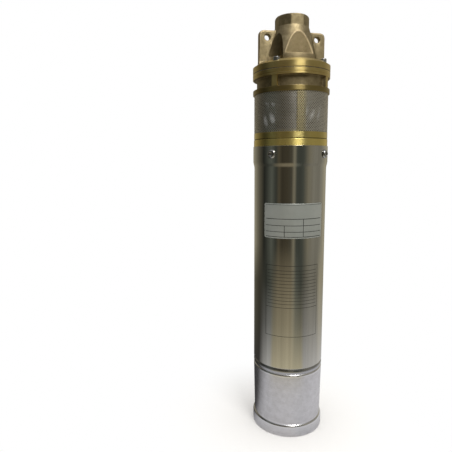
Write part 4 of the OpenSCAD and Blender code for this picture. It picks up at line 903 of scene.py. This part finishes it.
sky = [
    (-180, 0.55, pale), (-118, 0.42, pale), (-92, 0.58, pale), (-72, 0.38, pale), (-54, 0.58, pale),
    (-34, 0.44, pale), (-12, 0.55, pale), (28, 0.98, pale), (58, 0.64, pale), (92, 0.52, pale),
    (118, 0.46, pale), (180, 0.55, pale),
]
eaves = [
    (-180, 0.26, pale), (-140, 0.26, pale), (-60, 0.22, pale), (-10, 0.22, pale), (27, 0.31, pale),
    (90, 0.27, pale), (180, 0.26, pale),
]
by_foot = [
    (-180, 0.60, pale), (-150, 0.045, pale), (-102, 0.045, pale), (-84, 0.37, pale), (-66, 0.62, pale),
    (0, 0.69, pale), (95, 0.70, pale), (180, 0.60, pale),
]
bench = by_foot[:5] + [
    (-56, 0.64, pale), (-46, 0.54, warm), (0, 0.60, warm), (42, 0.58, warm), (52, 0.62, pale),
] + by_foot[6:]
wall_points = at_angle(room_r, ring_a, np.array([[0.0], [room_h]]))
card("card_wall", wall_points, room, room, [(0.0, 0.0), (1.0, 1.0)])
sky_points = at_angle(np.linspace(0, room_r, 13)[:, None], ring_a, room_h)
card("card_over", sky_points, sky, eaves, [(0.0, 0.0), (0.5, 0.0), (0.8, 1.0), (1.0, 1.0)])
floor_cards = (
    (by_foot, ground, [(0.0492, 0.30), (0.065, 0.22), (0.1, 0.08), (0.2, 0.08)]),
    (bench, ground, [(0.2, 0.08), (0.24, 0.22), (0.30, 0.42), (0.45, 0.76), (0.8, 1.0)]),
    (ground, room, [(0.8, 0.0), (1.45, 1.0), (room_r, 1.0)]),
)
for number, (inner, outer, steps) in enumerate(floor_cards):
    inner_r, outer_r = steps[0][0], steps[-1][0]
    card_r = np.geomspace(inner_r, outer_r, 17)[:, None]
    share = [(math.log(r / inner_r) / math.log(outer_r / inner_r), part) for r, part in steps]
    card(f"card_floor_{number + 1}", at_angle(card_r, ring_a, 0.0005), inner, outer, share)


def seen_directly(tree):
    """1 for rays straight from the camera, from a mirror or through glass, and 0 for soft light."""
    ray = add(tree, "LightPath").outputs
    mirrored = maths(tree, "MAXIMUM", ray["Is Camera Ray"], ray["Is Glossy Ray"])
    return maths(tree, "MAXIMUM", mirrored, ray["Is Transmission Ray"])


floor_half, shade_near, shade_far = 30.0, 0.05, 0.20
floor_x, floor_y = np.meshgrid([-floor_half, floor_half], [-floor_half, floor_half], indexing="ij")
floor = open_sheet("floor", np.stack([floor_x, floor_y, 0 * floor_x], -1))
floor_paint = bpy.data.materials.new("floor")
floor_paint.use_nodes = True
tree = floor_paint.node_tree
floor_skin = tree.nodes["Principled BSDF"]
floor_skin.inputs["Base Color"].default_value = (0.9, 0.9, 0.9, 1)
floor_skin.inputs["Roughness"].default_value = 0.9
floor_skin.inputs["Specular IOR Level"].default_value = 0.0
place = add(tree, "TexCoord").outputs["Object"]
away = add(tree, "VectorMath", {0: place}, operation="LENGTH").outputs["Value"]
far = add(tree, "MapRange", {0: away, 1: shade_near, 2: shade_far}, interpolation_type="SMOOTHSTEP")
white_share = maths(tree, "MULTIPLY", seen_directly(tree), far.outputs[0])
white = add(tree, "Emission", {"Color": (1, 1, 1, 1), "Strength": 1.0}).outputs[0]
both = add(tree, "MixShader", {0: white_share, 1: floor_skin.outputs[0], 2: white})
tree.links.new(both.outputs[0], tree.nodes["Material Output"].inputs["Surface"])
floor.data.materials.append(floor_paint)

world = bpy.data.worlds.new("studio")
bpy.context.scene.world = world
world.use_nodes = True
tree = world.node_tree
fill = tree.nodes["Background"]
fill.inputs["Color"].default_value = (1.0, 0.98, 0.95, 1)
fill.inputs["Strength"].default_value = 1.0
white = add(tree, "Background", {"Color": (1, 1, 1, 1), "Strength": 1.0}).outputs[0]
both = add(tree, "MixShader", {0: seen_directly(tree), 1: fill.outputs[0], 2: white})
tree.links.new(both.outputs[0], tree.nodes["World Output"].inputs["Surface"])

key_a, key_far, key_high, pump_middle = math.radians(camera_side + 31), 1.1, 1.5, Vector((0, 0, 0.36))
key_light = bpy.data.lights.new("key", "AREA")
key_light.shape = "RECTANGLE"
key_light.size, key_light.size_y = 0.55, 0.7
key_light.energy = 10
key_light.color = (1.0, 0.98, 0.94)
key = bpy.data.objects.new("key", key_light)
key.location = (key_far * math.cos(key_a), key_far * math.sin(key_a), key_high)
key.rotation_euler = (pump_middle - key.location).to_track_quat("-Z", "Y").to_euler()
key.visible_camera = False
bpy.context.scene.collection.objects.link(key)

camera = bpy.data.cameras.new("camera")
camera.sensor_width, camera.lens = 36, 34.448
view = bpy.data.objects.new("camera", camera)
view.location = (-0.20987, -0.56131, 0.3720)
view.rotation_euler = [math.radians(a) for a in (81.736, 0.403, -12.179)]
bpy.context.scene.collection.objects.link(view)
bpy.context.scene.camera = view
bpy.context.scene.view_settings.view_transform = "Standard"

bpy.context.view_layer.update()
